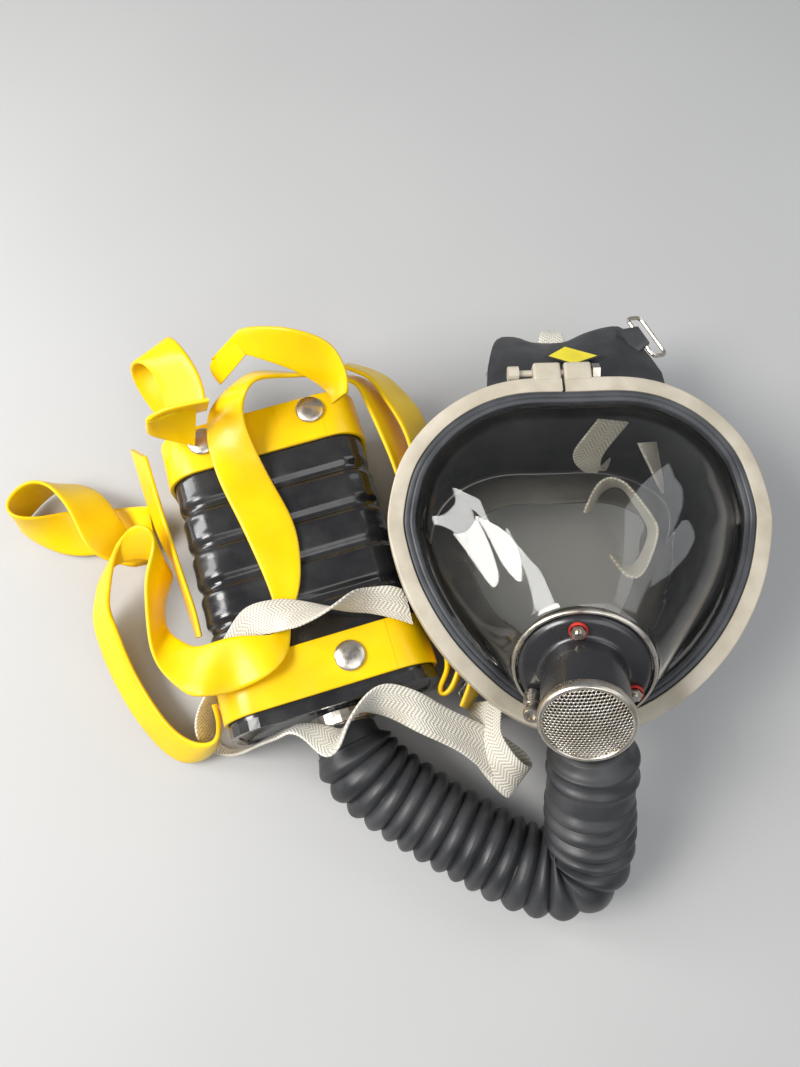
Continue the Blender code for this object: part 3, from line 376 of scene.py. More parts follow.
def combine(base, others):
    """The base mesh after (operation, mesh) booleans in turn."""
    holder = bpy.data.objects.new("combining", base)
    bpy.context.scene.collection.objects.link(holder)
    for operation, mesh in others:
        tool = bpy.data.objects.new("tool", mesh)
        bpy.context.scene.collection.objects.link(tool)
        mod = holder.modifiers.new("cut", "BOOLEAN")
        mod.operation, mod.solver, mod.object = operation, "EXACT", tool
        graph = bpy.context.evaluated_depsgraph_get()
        result = bpy.data.meshes.new_from_object(holder.evaluated_get(graph))
        holder.modifiers.clear()
        holder.data = result
        bpy.data.objects.remove(tool, do_unlink=True)
    bpy.data.objects.remove(holder, do_unlink=True)
    return result


def smooth_line(points, count, closed=False):
    """Evenly spaced points on a Catmull-Rom curve through some points of any size."""
    given = np.array(points, dtype=float)
    if closed:
        padded = np.vstack((given[-1], given, given[0], given[1]))
    else:
        padded = np.vstack((2 * given[0] - given[1], given, 2 * given[-1] - given[-2]))
    dense = []
    for a, b, c, d in zip(padded, padded[1:], padded[2:], padded[3:]):
        for t in np.linspace(0.0, 1.0, 16, endpoint=False):
            dense.append(0.5 * (2 * b + (c - a) * t + (2 * a - 5 * b + 4 * c - d) * t ** 2
                                + (3 * b - a - 3 * c + d) * t ** 3))
    dense.append(given[0] if closed else given[-1])
    dense = np.array(dense)
    along = travelled(dense)
    wanted = np.linspace(0.0, along[-1], count + (1 if closed else 0))
    picked = np.column_stack([np.interp(wanted, along, column) for column in dense.T])
    return picked[:-1] if closed else picked


def relaxed(line, rounds):
    """The line with its kinks eased, its ends kept."""
    line = np.array(line, dtype=float)
    for _ in range(rounds):
        line[1:-1] = line[1:-1] * 0.5 + (line[:-2] + line[2:]) * 0.25
    return line


# ---- materials --------------------------------------------------------------

def shader_of(name, colour, roughness, metallic=0.0, **sockets):
    made = bpy.data.materials.new(name)
    made.use_nodes = True
    shader = made.node_tree.nodes["Principled BSDF"]
    shader.inputs["Base Color"].default_value = (*colour, 1.0)
    shader.inputs["Roughness"].default_value = roughness
    shader.inputs["Metallic"].default_value = metallic
    for socket, value in sockets.items():
        shader.inputs[socket.replace("_", " ")].default_value = value
    made.diffuse_color = (*colour, 1.0)
    return made


def node(made, kind, **settings):
    new = made.node_tree.nodes.new(kind)
    for key, value in settings.items():
        setattr(new, key, value)
    return new


def link(made, source, target):
    made.node_tree.links.new(source, target)


def noise(made, scale, detail=4.0):
    """Noise over the object's own coordinates, in metres, so scale is features a metre."""
    place = node(made, "ShaderNodeTexCoord")
    texture = node(made, "ShaderNodeTexNoise")
    texture.inputs["Scale"].default_value = scale
    texture.inputs["Detail"].default_value = detail
    link(made, place.outputs["Object"], texture.inputs["Vector"])
    return texture.outputs["Fac"]


def ramp(made, value, stops):
    """A colour ramp; stops are (place, colour)."""
    new = node(made, "ShaderNodeValToRGB")
    element = new.color_ramp.elements
    while len(element) < len(stops):
        element.new(0.5)
    for stop, (place, colour) in zip(element, stops):
        stop.position = place
        stop.color = (*colour, 1.0)
    link(made, value, new.inputs["Fac"])
    return new.outputs["Color"]


def spread(made, value, low, high, start=0.3, end=0.7):
    """The value taken from start..end to low..high."""
    new = node(made, "ShaderNodeMapRange")
    for socket, number in (("From Min", start), ("From Max", end),
                           ("To Min", low), ("To Max", high)):
        new.inputs[socket].default_value = number
    link(made, value, new.inputs["Value"])
    return new.outputs["Result"]


def feed(made, socket, value):
    link(made, value, made.node_tree.nodes["Principled BSDF"].inputs[socket])


def bump(made, height, strength, distance=0.0003):
    """Relief of some height, with its greatest depth in metres."""
    new = node(made, "ShaderNodeBump")
    new.inputs["Strength"].default_value = strength
    new.inputs["Distance"].default_value = distance
    link(made, height, new.inputs["Height"])
    feed(made, "Normal", new.outputs["Normal"])


def mixed_colour(made, low, high, scale, detail=4.0, start=0.35, end=0.65):
    """A base colour that varies between two with noise."""
    feed(made, "Base Color", ramp(made, noise(made, scale, detail), ((start, low), (end, high))))


def make_materials():
    kit = {}
    made = kit["yellow"] = shader_of("yellow_rubber", (0.90, 0.58, 0.0), 0.38, IOR=1.36,
                                     Coat_Weight=0.12, Coat_Roughness=0.15)
    mixed_colour(made, (0.84, 0.51, 0.0), (0.94, 0.62, 0.0), 30, 5)
    feed(made, "Roughness", spread(made, noise(made, 90, 6), 0.26, 0.46))
    bump(made, noise(made, 900, 3), 0.12, 0.0002)

    made = kit["black_paint"] = shader_of("black_paint", (0.012, 0.012, 0.013), 0.16,
                                          Coat_Weight=0.4, Coat_Roughness=0.06)
    feed(made, "Roughness", spread(made, noise(made, 60, 8), 0.12, 0.42, 0.35, 0.75))
    mixed_colour(made, (0.010, 0.010, 0.011), (0.026, 0.026, 0.027), 45, 7)
    bump(made, noise(made, 160, 5), 0.25, 0.0006)

    made = kit["cream"] = shader_of("cream_paint", (0.54, 0.48, 0.38), 0.38)
    mixed_colour(made, (0.43, 0.38, 0.29), (0.56, 0.51, 0.41), 55, 6)
    feed(made, "Roughness", spread(made, noise(made, 120, 5), 0.3, 0.5))
    bump(made, noise(made, 500, 4), 0.15, 0.0003)

    made = kit["rubber"] = shader_of("black_rubber", (0.028, 0.029, 0.032), 0.42)
    mixed_colour(made, (0.02, 0.021, 0.023), (0.06, 0.061, 0.064), 42, 7, start=0.35, end=0.8)
    feed(made, "Roughness", spread(made, noise(made, 70, 6), 0.32, 0.58))
    bump(made, noise(made, 700, 4), 0.2, 0.0003)

    made = kit["gasket"] = shader_of("gasket_rubber", (0.035, 0.037, 0.042), 0.45)
    mixed_colour(made, (0.028, 0.03, 0.034), (0.06, 0.063, 0.07), 60, 6)
    bump(made, noise(made, 600, 4), 0.2, 0.0003)

    made = kit["seal"] = shader_of("seal_rubber", (0.15, 0.145, 0.13), 0.5)
    mixed_colour(made, (0.12, 0.115, 0.10), (0.20, 0.19, 0.17), 35, 5)
    bump(made, noise(made, 500, 4), 0.2, 0.0003)

    made = kit["plastic"] = shader_of("black_plastic", (0.022, 0.022, 0.024), 0.22,
                                      Coat_Weight=0.3, Coat_Roughness=0.12)
    feed(made, "Roughness", spread(made, noise(made, 110, 6), 0.2, 0.38))
    bump(made, noise(made, 420, 4), 0.12, 0.0003)

    made = kit["nickel"] = shader_of("nickel", (0.66, 0.62, 0.54), 0.28, 1.0)
    mixed_colour(made, (0.50, 0.45, 0.37), (0.72, 0.68, 0.61), 120, 6)
    feed(made, "Roughness", spread(made, noise(made, 260, 6), 0.22, 0.42))
    bump(made, noise(made, 900, 3), 0.1, 0.0002)

    made = kit["red"] = shader_of("red_mark_paint", (0.62, 0.03, 0.02), 0.4)
    mixed_colour(made, (0.5, 0.02, 0.015), (0.7, 0.05, 0.035), 300, 3)

    made = kit["label"] = shader_of("label_yellow", (0.88, 0.74, 0.02), 0.4)
    mixed_colour(made, (0.82, 0.68, 0.02), (0.92, 0.78, 0.03), 90, 4)
    made = kit["label_edge"] = shader_of("label_edge", (0.03, 0.03, 0.02), 0.5)
    mixed_colour(made, (0.02, 0.02, 0.015), (0.05, 0.05, 0.04), 90, 4)

    made = kit["felt"] = shader_of("filter_felt", (0.7, 0.68, 0.62), 0.95)
    mixed_colour(made, (0.6, 0.58, 0.52), (0.78, 0.76, 0.7), 400, 6)
    bump(made, noise(made, 1500, 4), 0.5, 0.0005)
    made = kit["charcoal"] = shader_of("charcoal", (0.025, 0.025, 0.025), 0.9)
    mixed_colour(made, (0.015, 0.015, 0.015), (0.05, 0.05, 0.05), 500, 3)
    bump(made, noise(made, 500, 2), 0.8, 0.001)

    kit["webbing"] = webbing_material()
    made = kit["clear"] = shader_of("clear_lens", (0.90, 0.89, 0.85), 0.02,
                                    Transmission_Weight=1.0, IOR=1.45)
    feed(made, "Roughness", spread(made, noise(made, 40, 6), 0.0, 0.05, 0.45, 0.8))
    return kit


def webbing_material():
    """Cotton tape woven in a herringbone; its UV map runs across and along it, in metres."""
    made = shader_of("cotton_webbing", (0.74, 0.71, 0.63), 0.92, Sheen_Weight=0.25,
                     Sheen_Roughness=0.4)
    uv = node(made, "ShaderNodeUVMap", uv_map="weave")
    split = node(made, "ShaderNodeSeparateXYZ")
    link(made, uv.outputs["UV"], split.inputs["Vector"])

    def maths(operation, a, b=None):
        new = node(made, "ShaderNodeMath", operation=operation)
        for socket, value in zip(new.inputs, (a, b)):
            if value is None:
                continue
            if isinstance(value, (int, float)):
                socket.default_value = value
            else:
                link(made, value, socket)
        return new.outputs[0]

    band_wide, rib_pitch, thread_pitch = 0.0042, 0.0019, 0.0012
    across, along = split.outputs["X"], split.outputs["Y"]
    slanted = maths("ADD", along, maths("MULTIPLY", maths("PINGPONG", across, band_wide), 0.75))
    rib = maths("SINE", maths("MULTIPLY", slanted, 2 * math.pi / rib_pitch))
    thread = maths("SINE", maths("MULTIPLY", across, 2 * math.pi / thread_pitch))
    weave = maths("ADD", maths("MULTIPLY", rib, 0.35), maths("MULTIPLY", thread, 0.18))
    height = maths("ADD", maths("ADD", weave, 0.5), maths("MULTIPLY", noise(made, 900, 4), 0.4))
    # Colour: random tone from noise, plus painted shade from the weave, darker in its grooves and
    # lighter on its ribs
    weave_shade_and_tone = maths("ADD", maths("MULTIPLY", weave, 0.8), noise(made, 60, 5))
    stops = ((0.2, (0.46, 0.42, 0.34)), (0.5, (0.66, 0.62, 0.53)), (0.8, (0.80, 0.77, 0.68)))
    feed(made, "Base Color", ramp(made, weave_shade_and_tone, stops))
    bump(made, height, 0.75, 0.0005)
    return made


KIT = make_materials()


def dress_cad_nodes():
    """Materials for the CAD nodes that show as they are."""
    looks = {
        "black_paint": ("can_lid", "can_base"),
        "felt": ("particulate_filter",),
        "charcoal": ("carbon_bed",),
        "plastic": ("exhale_seat", "inhale_seat"),
        "rubber": ("exhale_valve", "inhale_valve", "coupling_gasket"),
        "cream": ("band_screw",),
        "nickel": ("band_nut", "bed_spring", "inlet_screen", "outlet_screen", "hose_tail",
                   "coupling_nut", "port_backing_ring", "forehead_buckle_right",
                   "forehead_buckle_left", "cheek_buckle_right", "cheek_buckle_left"),
    }
    for look, names in looks.items():
        for name in names:
            piece = NODES[name]
            piece.data.materials.clear()
            piece.data.materials.append(KIT[look])


# ---- mask -------------------------------------------------------------------

def frame_edge():
    """The clamp band's outer edge: points, and the outward direction at each."""
    finer = 20
    left = [(-x, y) for x, y in FRAME_HALF[-2:0:-1]]
    dense = smooth_line(list(FRAME_HALF) + left, FINE_STEPS * finer, closed=True)
    top = np.where(dense[:, 1] > 0, np.abs(dense[:, 0] - SPLIT_ACROSS), np.inf)
    flat = np.roll(dense, -int(np.argmin(top)), axis=0)[::finer]
    rise = smooth_line(FRAME_RISE, 60)
    height = np.interp(flat[:, 1], rise[:, 0], rise[:, 1])
    tangent = unit(np.roll(flat, -1, axis=0) - np.roll(flat, 1, axis=0))
    outward = np.column_stack((-tangent[:, 1], tangent[:, 0], np.zeros(len(flat))))
    return np.column_stack((flat, height)), outward


def beside(edge, outward, out, up):
    """The edge moved outward and up by some millimetres."""
    return edge + outward * out + np.array((0.0, 0.0, up))


def rim_height(place_up):
    """Height of the skirt's lower rim over the table, by place up the face."""
    fore = np.clip((place_up - 22.0) / 40.0, 0.0, 1.0)
    chin = np.clip((-place_up - 38.0) / 32.0, 0.0, 1.0)
    return 0.8 + 21.0 * fore ** 2 * (3 - 2 * fore) + 9.0 * chin ** 2 * (3 - 2 * chin)


def rounded(corners, radius, steps=3):
    """A closed outline with each corner eased by a small arc."""
    corners = np.array(corners, dtype=float)
    out = []
    for before, spot, after in zip(np.roll(corners, 1, 0), corners, np.roll(corners, -1, 0)):
        shorter = min(np.linalg.norm(before - spot), np.linalg.norm(after - spot))
        reach = min(radius, 0.45 * shorter)
        start, end = spot + unit(before - spot) * reach, spot + unit(after - spot) * reach
        for t in np.linspace(0, 1, steps):
            out.append((1 - t) ** 2 * start + 2 * t * (1 - t) * spot + t ** 2 * end)
    return out


def make_frame_rings():
    edge, outward = frame_edge()
    inner = -BAND_WIDTH - BEAD_WIDTH
    seat = -BAND_WALL - 1.4
    bead = ((-1.7, -1.7), (-1.7, seat), (inner, seat), (inner, -6.2),
            (inner + GROOVE_DEPTH, -6.2), (inner + GROOVE_DEPTH, -3.8), (inner, -3.8),
            (inner, -0.2), (inner + 2.0, 0.7), (inner + 2.7, 0.0), (inner + 3.3, 0.7),
            (-BAND_WIDTH - 0.5, 0.5), (-BAND_WIDTH - 0.3, -1.7))
    rows = [beside(edge, outward, *spot) for spot in rounded(bead, 0.5)]
    put("lens_bead", facing_out(lofted("lens_bead", rows, True, True)), MASK, KIT["gasket"],
        ("lens_gasket",), smooth=50)

    rim = rim_height(edge[:, 1])
    less = np.interp(edge[:, 1], (0, 50), (0.0, 5.0))[:, None]
    upper = beside(edge, outward, less - 17.0, seat - 9.5)
    lower = beside(edge, outward, less - 22.0, 0.0)
    lower[:, 2] = rim
    coarse = [beside(edge, outward, -3.6, seat - 2.0), beside(edge, outward, -10, seat - 4.4)]
    coarse += [upper * (1 - share) + lower * share for share in (0.0, 0.35, 0.7, 1.0)]
    rows = np.array([smooth_line([row[k] for row in coarse], 20) for k in range(len(edge))])
    rows = np.swapaxes(rows, 0, 1)
    put("skirt_shell", thick_sheet("skirt_shell", rows, SKIRT_THICK), MASK, KIT["rubber"],
        ("face_skirt",))

    coarse = []
    for out, up in ((-24.8, 1.0), (-30, 5.0), (-37, 8.5), (-45, 10.5)):
        row = beside(edge, outward, less + out, 0.0)
        row[:, 2] = rim + up
        coarse.append(row)
    rows = np.array([smooth_line([row[k] for row in coarse], 12) for k in range(len(edge))])
    put("seal_lip", thick_sheet("seal_lip", np.swapaxes(rows, 0, 1), SEAL_THICK), MASK,
        KIT["seal"], ("face_seal",))


def make_clamp_band():
    edge, outward = frame_edge()
    section = ((0, 0), (0, -BAND_WALL), (-BAND_THICK, -BAND_WALL), (-BAND_THICK, -BAND_THICK),
               (-BAND_WIDTH, -BAND_THICK), (-BAND_WIDTH, 0))
    section = rounded(section, 0.9, 4)
    rows = [[edge[i] + outward[i] * out + np.array((0, 0, up)) for out, up in section]
            for i in range(1, FINE_STEPS)]
    ends = []
    for side in (1, -1):
        ends.append([edge[0] + np.array((side * 0.7, out, up)) for out, up in section])
    mesh = facing_out(lofted("band", [ends[0]] + rows + [ends[1]], around=True, caps=True))
    top = edge[0]
    steps = []
    for side in (-1, 1):
        middle = (top[0] + side * 7.4, top[1] + 3.5, top[2] - 2.9)
        steps.append(("UNION", bevelled_block((13.2, 9.6, 7.0), middle, 1.3)))
    hole = top + np.array((0, 4.0, -2.9))
    steps.append(("DIFFERENCE", rod_mesh(1.9, hole + (-16, 0, 0), hole + (16, 0, 0))))
    notch = turned_mesh("notch", ((0, 3), (2.6, 3), (0.0, -4)), 4)
    notch.transform(Matrix.Translation(top + np.array((0, -BAND_WIDTH, 0))))
    steps.append(("DIFFERENCE", notch))
    put("clamp_band_shell", combine(mesh, steps), MASK, KIT["cream"],
        ("lens_clamp_band",), smooth=40)


def port_point(x, y, z):
    return np.array(PORT_ON_MASK @ (Vector((x, y, z)) * MM)) / MM


def port_circle(angles, radius):
    """Points of the lens's middle surface round the port."""
    return np.array([port_point(radius * math.cos(a), radius * math.sin(a), -LENS_SINK)
                     for a in angles])


def lens_rows():
    """The lens's middle surface, from its rim in the bead to the port's edge."""
    edge, outward = frame_edge()
    inner = -BAND_WIDTH - BEAD_WIDTH
    centre = port_point(0, 0, -LENS_SINK)
    rows = [beside(edge, outward, inner + GROOVE_DEPTH - 1.2, -LENS_DROP),
            beside(edge, outward, inner - 2.4, -LENS_DROP)]
    bend = rows[-1]
    seen_from = np.array((PORT_PLACE[0] * 0.5, -36.0))
    round_angle = np.arctan2(bend[:, 1] - seen_from[1], bend[:, 0] - seen_from[0])
    collar = port_circle(round_angle, PORT_RADIUS)
    axis = port_point(0, 0, 1) - port_point(0, 0, 0)
    leave, arrive = [], []
    for i, spot in enumerate(bend):
        steep = math.radians(np.interp(spot[1], LENS_STEEP_AT, LENS_STEEP))
        reach = 0.95 * np.linalg.norm(collar[i] - spot)
        rising = -outward[i] * math.cos(steep) + np.array((0, 0, math.sin(steep)))
        leave.append(1.2 * reach * rising)
        arrive.append(reach * unit((centre - collar[i]) / PORT_RADIUS * 0.55 + axis * 0.65))
    leave, arrive = np.array(leave), np.array(arrive)
    for s in np.linspace(0, 1, LENS_ROWS)[1:]:
        s2, s3 = s ** 2, s ** 3
        rows.append((2 * s3 - 3 * s2 + 1) * bend + (s3 - 2 * s2 + s) * leave
                    + (3 * s2 - 2 * s3) * collar + (s3 - s2) * arrive)
    rows.append(port_circle(round_angle, LENS_HOLE))
    return rows


def make_lens():
    put("visor", thick_sheet("visor", lens_rows(), LENS_THICK), MASK, KIT["clear"],
        ("lens",), smooth=60)


def make_forehead():
    count = 41
    across = np.linspace(0, 1, count)
    root, tip = smooth_line(FLAP_ROOT, count), smooth_line(FLAP_TIP, count)
    rows = []
    for down in np.linspace(0, 1, 16):
        row = root * (1 - down) + tip * down
        row[:, 2] += FLAP_CROWN * math.sin(math.pi * down) * np.sin(math.pi * across)
        rows.append(row)
    put("flap_shell", thick_sheet("flap_shell", rows, FLAP_THICK, around=False), MASK,
        KIT["rubber"], ("forehead_flap",), smooth=60)
    corners = np.array(LABEL_CORNERS)
    centre = corners.mean(axis=0)
    half = np.array((0, 0, LABEL_HALF_THICK))
    for name, share, lift, look in (("label_border", 1.0, 0.0, "label_edge"),
                                    ("label_field", LABEL_FIELD_SHARE, LABEL_LIFT, "label")):
        spots = np.array(LABEL_PLACE) + centre + (corners - centre) * share + (0, 0, lift)
        low, high = list(spots - half), list(spots + half)
        mesh = facing_out(lofted(name, [low, high], around=True, caps=True))
        nodes = ("label_plate",) if name == "label_border" else ()
        put(name, mesh, MASK, KIT[look], nodes, smooth=0)


def make_buckle_tabs():
    """Rubber tabs that hold each buckle's bar to the skirt or the flap."""
    for name, (root, bar, turn, wide) in BUCKLE_TABS.items():
        root, bar = np.array(root, dtype=float), np.array(bar, dtype=float)
        angle = math.radians(turn)
        side = np.array((-math.sin(angle), math.cos(angle), 0.0)) * wide / 2
        past = bar + unit(bar - root) * 1.8
        stations = []
        for spot, share in ((root, 1.25), ((root + bar) / 2, 1.0), (bar, 0.9), (past, 0.8)):
            stations.append((*(spot - side * share), *(spot + side * share)))
        mesh, _, _ = strap_mesh(name, stations, TAB_THICK, 1.0)
        put(name, mesh, MASK, KIT["rubber"], smooth=70)


# ---- valve housing ----------------------------------------------------------

def make_port():
    profile = rounded(((HOUSING_RADIUS, HOUSING_TALL), (HOUSING_RADIUS, 5.8), (20.0, 4.6),
                       (26.4, 3.9), (28.2, 2.6), (29.0, 0.3), (HOUSING_BORE, 0.3),
                       (HOUSING_BORE, HOUSING_TALL)), 0.7)
    housing = turned_mesh("housing", profile)
    spigot = rod_mesh(SPIGOT_RADIUS, (0, -HOUSING_BORE - 1.2, SPIGOT_RISE),
                      (0, -SPIGOT_REACH, SPIGOT_RISE))
    bore = rod_mesh(SPIGOT_BORE, (0, -8, SPIGOT_RISE), (0, -SPIGOT_REACH - 2, SPIGOT_RISE))
    steps = [("UNION", spigot), ("DIFFERENCE", bore)]
    put("housing_shell", combine(housing, steps), PORT, KIT["plastic"],
        ("valve_housing",), smooth=40)
    ring = rounded(((29.5, 2.4), (30.6, 2.2), (31.2, 1.4), (31.2, 0.3), (29.3, 0.3)), 0.3)
    put("port_rim", turned_mesh("port_rim", ring), PORT, KIT["nickel"],
        ("port_ring",), smooth=50)
    names = ("port_screw_top", "port_screw_right", "port_screw_left")
    for name, (x, y) in zip(names, SCREW_SPOTS):
        place = PORT @ Matrix.Translation((x * MM, y * MM, 0))
        if name.endswith("left"):
            profile = ((0, 18.2), (1.9, 18.2), (2.1, 19.8), (3.6, 19.8), (3.9, 19.3), (3.9, 16.6),
                       (3.3, 16.4), (3.3, 13.4), (3.9, 13.2), (3.9, 6.0), (3.5, 5.6), (1.6, 5.6),
                       (1.6, -5.4), (0, -5.4))
            put("standoff_screw", turned_mesh(name, profile, 48), place, KIT["nickel"],
                (name,), smooth=35)
            continue
        profile = ((0, 9.4), (1.5, 9.4), (1.9, 9.0), (1.9, 7.9), (0, 7.9))
        put(name + "_tip", turned_mesh(name, profile, 32), place, KIT["nickel"],
            smooth=35)
        nut = rounded(((3.3, 7.8), (3.5, 7.2), (3.5, 5.2), (3.3, 4.7), (1.6, 4.7), (1.6, -5.4),
                       (0.2, -5.4), (0.2, 7.8)), 0.2)
        put(name + "_nut", turned_mesh(name, nut, 6), place, KIT["nickel"],
            (name,), smooth=25)
        mark = rounded(((4.0, 6.4), (4.0, 4.7), (3.55, 4.7), (3.55, 6.4)), 0.2)
        put(name + "_mark", turned_mesh(name, mark, 32), place, KIT["red"], smooth=40)


def make_cover():
    """The outlet valve's cover: a domed sheet pierced all over, in a rolled rim."""
    points, faces, index = [], [], {}

    def corner(x, y):
        radius = math.hypot(x, y)
        if radius > VENT_RADIUS:
            x, y = x * VENT_RADIUS / radius, y * VENT_RADIUS / radius
        key = (round(x, 3), round(y, 3))
        if key not in index:
            index[key] = len(points)
            points.append((x, y, dome(x, y)))
        return index[key]

    def dome(x, y):
        return VENT_TOP - VENT_DOME * (x * x + y * y) / VENT_RADIUS ** 2

    count = int(VENT_RADIUS / VENT_PITCH) + 2
    for i in range(-count, count + 1):
        for j in range(-count, count + 1):
            cx, cy = VENT_PITCH * (i + j / 2), VENT_PITCH * j * math.sqrt(3) / 2
            if math.hypot(cx, cy) > VENT_RADIUS - 0.1:
                continue
            outer, inner = [], []
            for k in range(6):
                angle = math.radians(30 + 60 * k)
                reach = VENT_PITCH / math.sqrt(3)
                outer.append(corner(cx + reach * math.cos(angle), cy + reach * math.sin(angle)))
            for k in range(12):
                angle = math.radians(30 + 30 * k)
                x, y = cx + VENT_HOLE * math.cos(angle), cy + VENT_HOLE * math.sin(angle)
                inner.append(len(points))
                points.append((x, y, dome(x, y)))
            for k in range(6):
                m, a = (k + 1) % 6, 2 * k
                faces.append((outer[k], inner[a + 1], inner[a]))
                faces.append((outer[k], outer[m], inner[a + 1]))
                faces.append((outer[m], inner[(a + 2) % 12], inner[a + 1]))
    mesh = mesh_from("vent_sheet", points, [face for face in faces if len(set(face)) == 3])
    sheet = put("vent_sheet", mesh, PORT, KIT["nickel"], ("exhale_cover",))
    wall = sheet.modifiers.new("thickness", "SOLIDIFY")
    wall.thickness, wall.offset = VENT_THICK * MM, 0.0
    rim = rounded(((17.4, 36.3), (18.0, 37.3), (19.2, 37.2), (COVER_RADIUS, 36.2),
                   (COVER_RADIUS, 32.4), (18.9, 32.4), (18.9, 35.3), (17.6, 35.6)), 0.4)
    put("vent_rim", turned_mesh("vent_rim", rim), PORT, KIT["nickel"], smooth=60)


# ---- canister ---------------------------------------------------------------

def can_section(grow, y, per_corner=14):
    """The canister's outline grown by some millimetres, at one place along it."""
    radius = CAN_CORNER + grow
    cx, cz = CAN_WIDE / 2 - CAN_CORNER, CAN_TALL / 2 - CAN_CORNER
    ring = []
    for sx, sz, first in ((1, 1, 0), (-1, 1, 90), (-1, -1, 180), (1, -1, 270)):
        for angle in np.radians(first + np.linspace(0, 90, per_corner)):
            ring.append((sx * cx + radius * math.cos(angle), y,
                         sz * cz + radius * math.sin(angle)))
    return ring


def make_can():
    half = CAN_LONG / 2
    rows = []
    for y in np.linspace(-half, half, 150):
        dip = max(math.exp(-((y - centre) / 2.6) ** 4) for centre in CAN_BEADS)
        lip = max(math.exp(-((abs(y - centre) - 5.2) / 1.6) ** 2) for centre in CAN_BEADS)
        rows.append(can_section(-CAN_BEAD_DEPTH * dip + 0.25 * lip - CAN_WALL / 2, y))
    put("can_shell", thick_sheet("can_shell", rows, CAN_WALL), CAN, KIT["black_paint"],
        ("can_body",), smooth=60)


def make_can_band(name, top):
    """A rubber band round the canister, with its outer end lapped over the front."""
    low, high = top - STRAP_WIDE + 0.5, top - 0.5
    outer = BAND_GAP + STRAP_THICK
    corners = rounded(((BAND_GAP, low), (BAND_GAP, high), (outer, high), (outer, low)), 0.6)
    rows = [can_section(grow, y) for grow, y in corners]
    mesh = facing_out(lofted(name, rows, True, True))
    put(name + "_strap", mesh, CAN, KIT["yellow"], (name,))
    face = CAN_TALL / 2 + outer
    start, low, high = LAP_STARTS[name], low + 0.4, high - 0.4
    outline = ((start, low), (LAP_END, low), (LAP_END, high), (start - 1.5, high))
    rows = [[(x, y, face + up) for x, y in outline] for up in (-0.5, 0.24)]
    put(name + "_lap", facing_out(lofted(name, rows, True, caps=True)), CAN, KIT["yellow"],
        smooth=0)


def make_snaps():
    foot = CAN_TALL / 2 + BAND_GAP + STRAP_THICK + 0.3
    for name, (x, y) in SNAPS.items():
        dome = [(7.4 * math.sin(a), foot + 0.9 + 1.9 * math.cos(a))
                for a in np.linspace(0, math.pi / 2, 14)]
        profile = [(0.0, dome[0][1])] + dome[1:] + [(7.2, foot + 0.2), (6.9, foot), (0.0, foot)]
        place = CAN @ Matrix.Translation((x * MM, y * MM, 0))
        put(name + "_cap", turned_mesh(name, profile, 64), place, KIT["nickel"],
            (name,), smooth=60)


# ---- straps, webbing and hose -----------------------------------------------

def strap_mesh(name, stations, thick, spacing=2.2):
    """A flat strap with soft edges, its mean width and its length.

    Its UV map runs across and along it, in metres.
    """
    both = np.array(stations, dtype=float)
    length = travelled((both[:, :3] + both[:, 3:]) / 2)[-1]
    coarse = max(len(stations), int(length / 7.0) + 2)
    line = smooth_line(smooth_line(both, coarse), int(length / spacing) + 2)
    line = relaxed(line, 6)
    first, second = line[:, :3], line[:, 3:]
    centre = (first + second) / 2
    along = np.gradient(centre, axis=0)
    across = second - first
    width = np.linalg.norm(across, axis=1)
    normal = unit(np.cross(along, across))
    places = (0.0, 0.02, 0.07, 0.25, 0.5, 0.75, 0.93, 0.98, 1.0)
    sink = (0.35, 0.8, 1.0, 1.0, 1.0, 1.0, 1.0, 0.8, 0.35)
    run, rows = travelled(centre), []
    for i in range(len(line)):
        half = normal[i] * thick / 2
        top = [first[i] + across[i] * u + half * s for u, s in zip(places, sink)]
        low = [first[i] + across[i] * u - half * s for u, s in zip(places, sink)]
        rows.append(top + low[::-1])
    mesh = facing_out(lofted(name, rows, around=True, caps=True))
    layer = mesh.uv_layers.new(name="weave")
    count = len(rows[0])
    spans = list(places) + list(places)[::-1]
    for loop in mesh.loops:
        i, k = divmod(loop.vertex_index, count)
        layer.data[loop.index].uv = (spans[k] * width[i] * MM, run[i] * MM)
    return mesh, float(np.mean(width)), float(run[-1])


def make_straps():
    for name, stations in RUBBER_ROUTES.items():
        mesh, _, _ = strap_mesh(name, stations, STRAP_THICK)
        put(name + "_band", mesh, LAYOUT, KIT["yellow"], (name,), smooth=70)
    for name, stations in {**WEBBING_ROUTES, **HEAD_ROUTES}.items():
        mesh, width, length = strap_mesh(name, stations, WEB_THICK, 1.6)
        tape = put(name + "_tape", mesh, LAYOUT, KIT["webbing"], (name,), smooth=70)


def hose_radius(share, length):
    """Outer radius of the hose at some share of the way from the canister to the mask."""
    cuff, tail = HOSE_CUFF_LONG / length, HOSE_TAIL_LONG / length
    if share < tail:
        return 14.4 + 2.0 * share / tail
    if share > 1 - cuff:
        rest = (1 - share) * length
        ridge = math.exp(-((rest - 7.0) / 2.2) ** 2) + math.exp(-((rest - 15.5) / 2.2) ** 2)
        taper = 2.6 * min(1.0, rest / 6.0) + 1.4 * min(1.0, rest / HOSE_CUFF_LONG)
        return 15.6 + 1.5 * ridge + taper
    wave = abs(math.sin(math.pi * HOSE_RIBS * (share - tail) / (1 - cuff - tail)))
    blend = min(1.0, (1 - cuff - share) * length / 6.0, (share - tail) * length / 6.0)
    return HOSE_VALLEY + HOSE_RIB_RISE * blend * wave ** 0.8


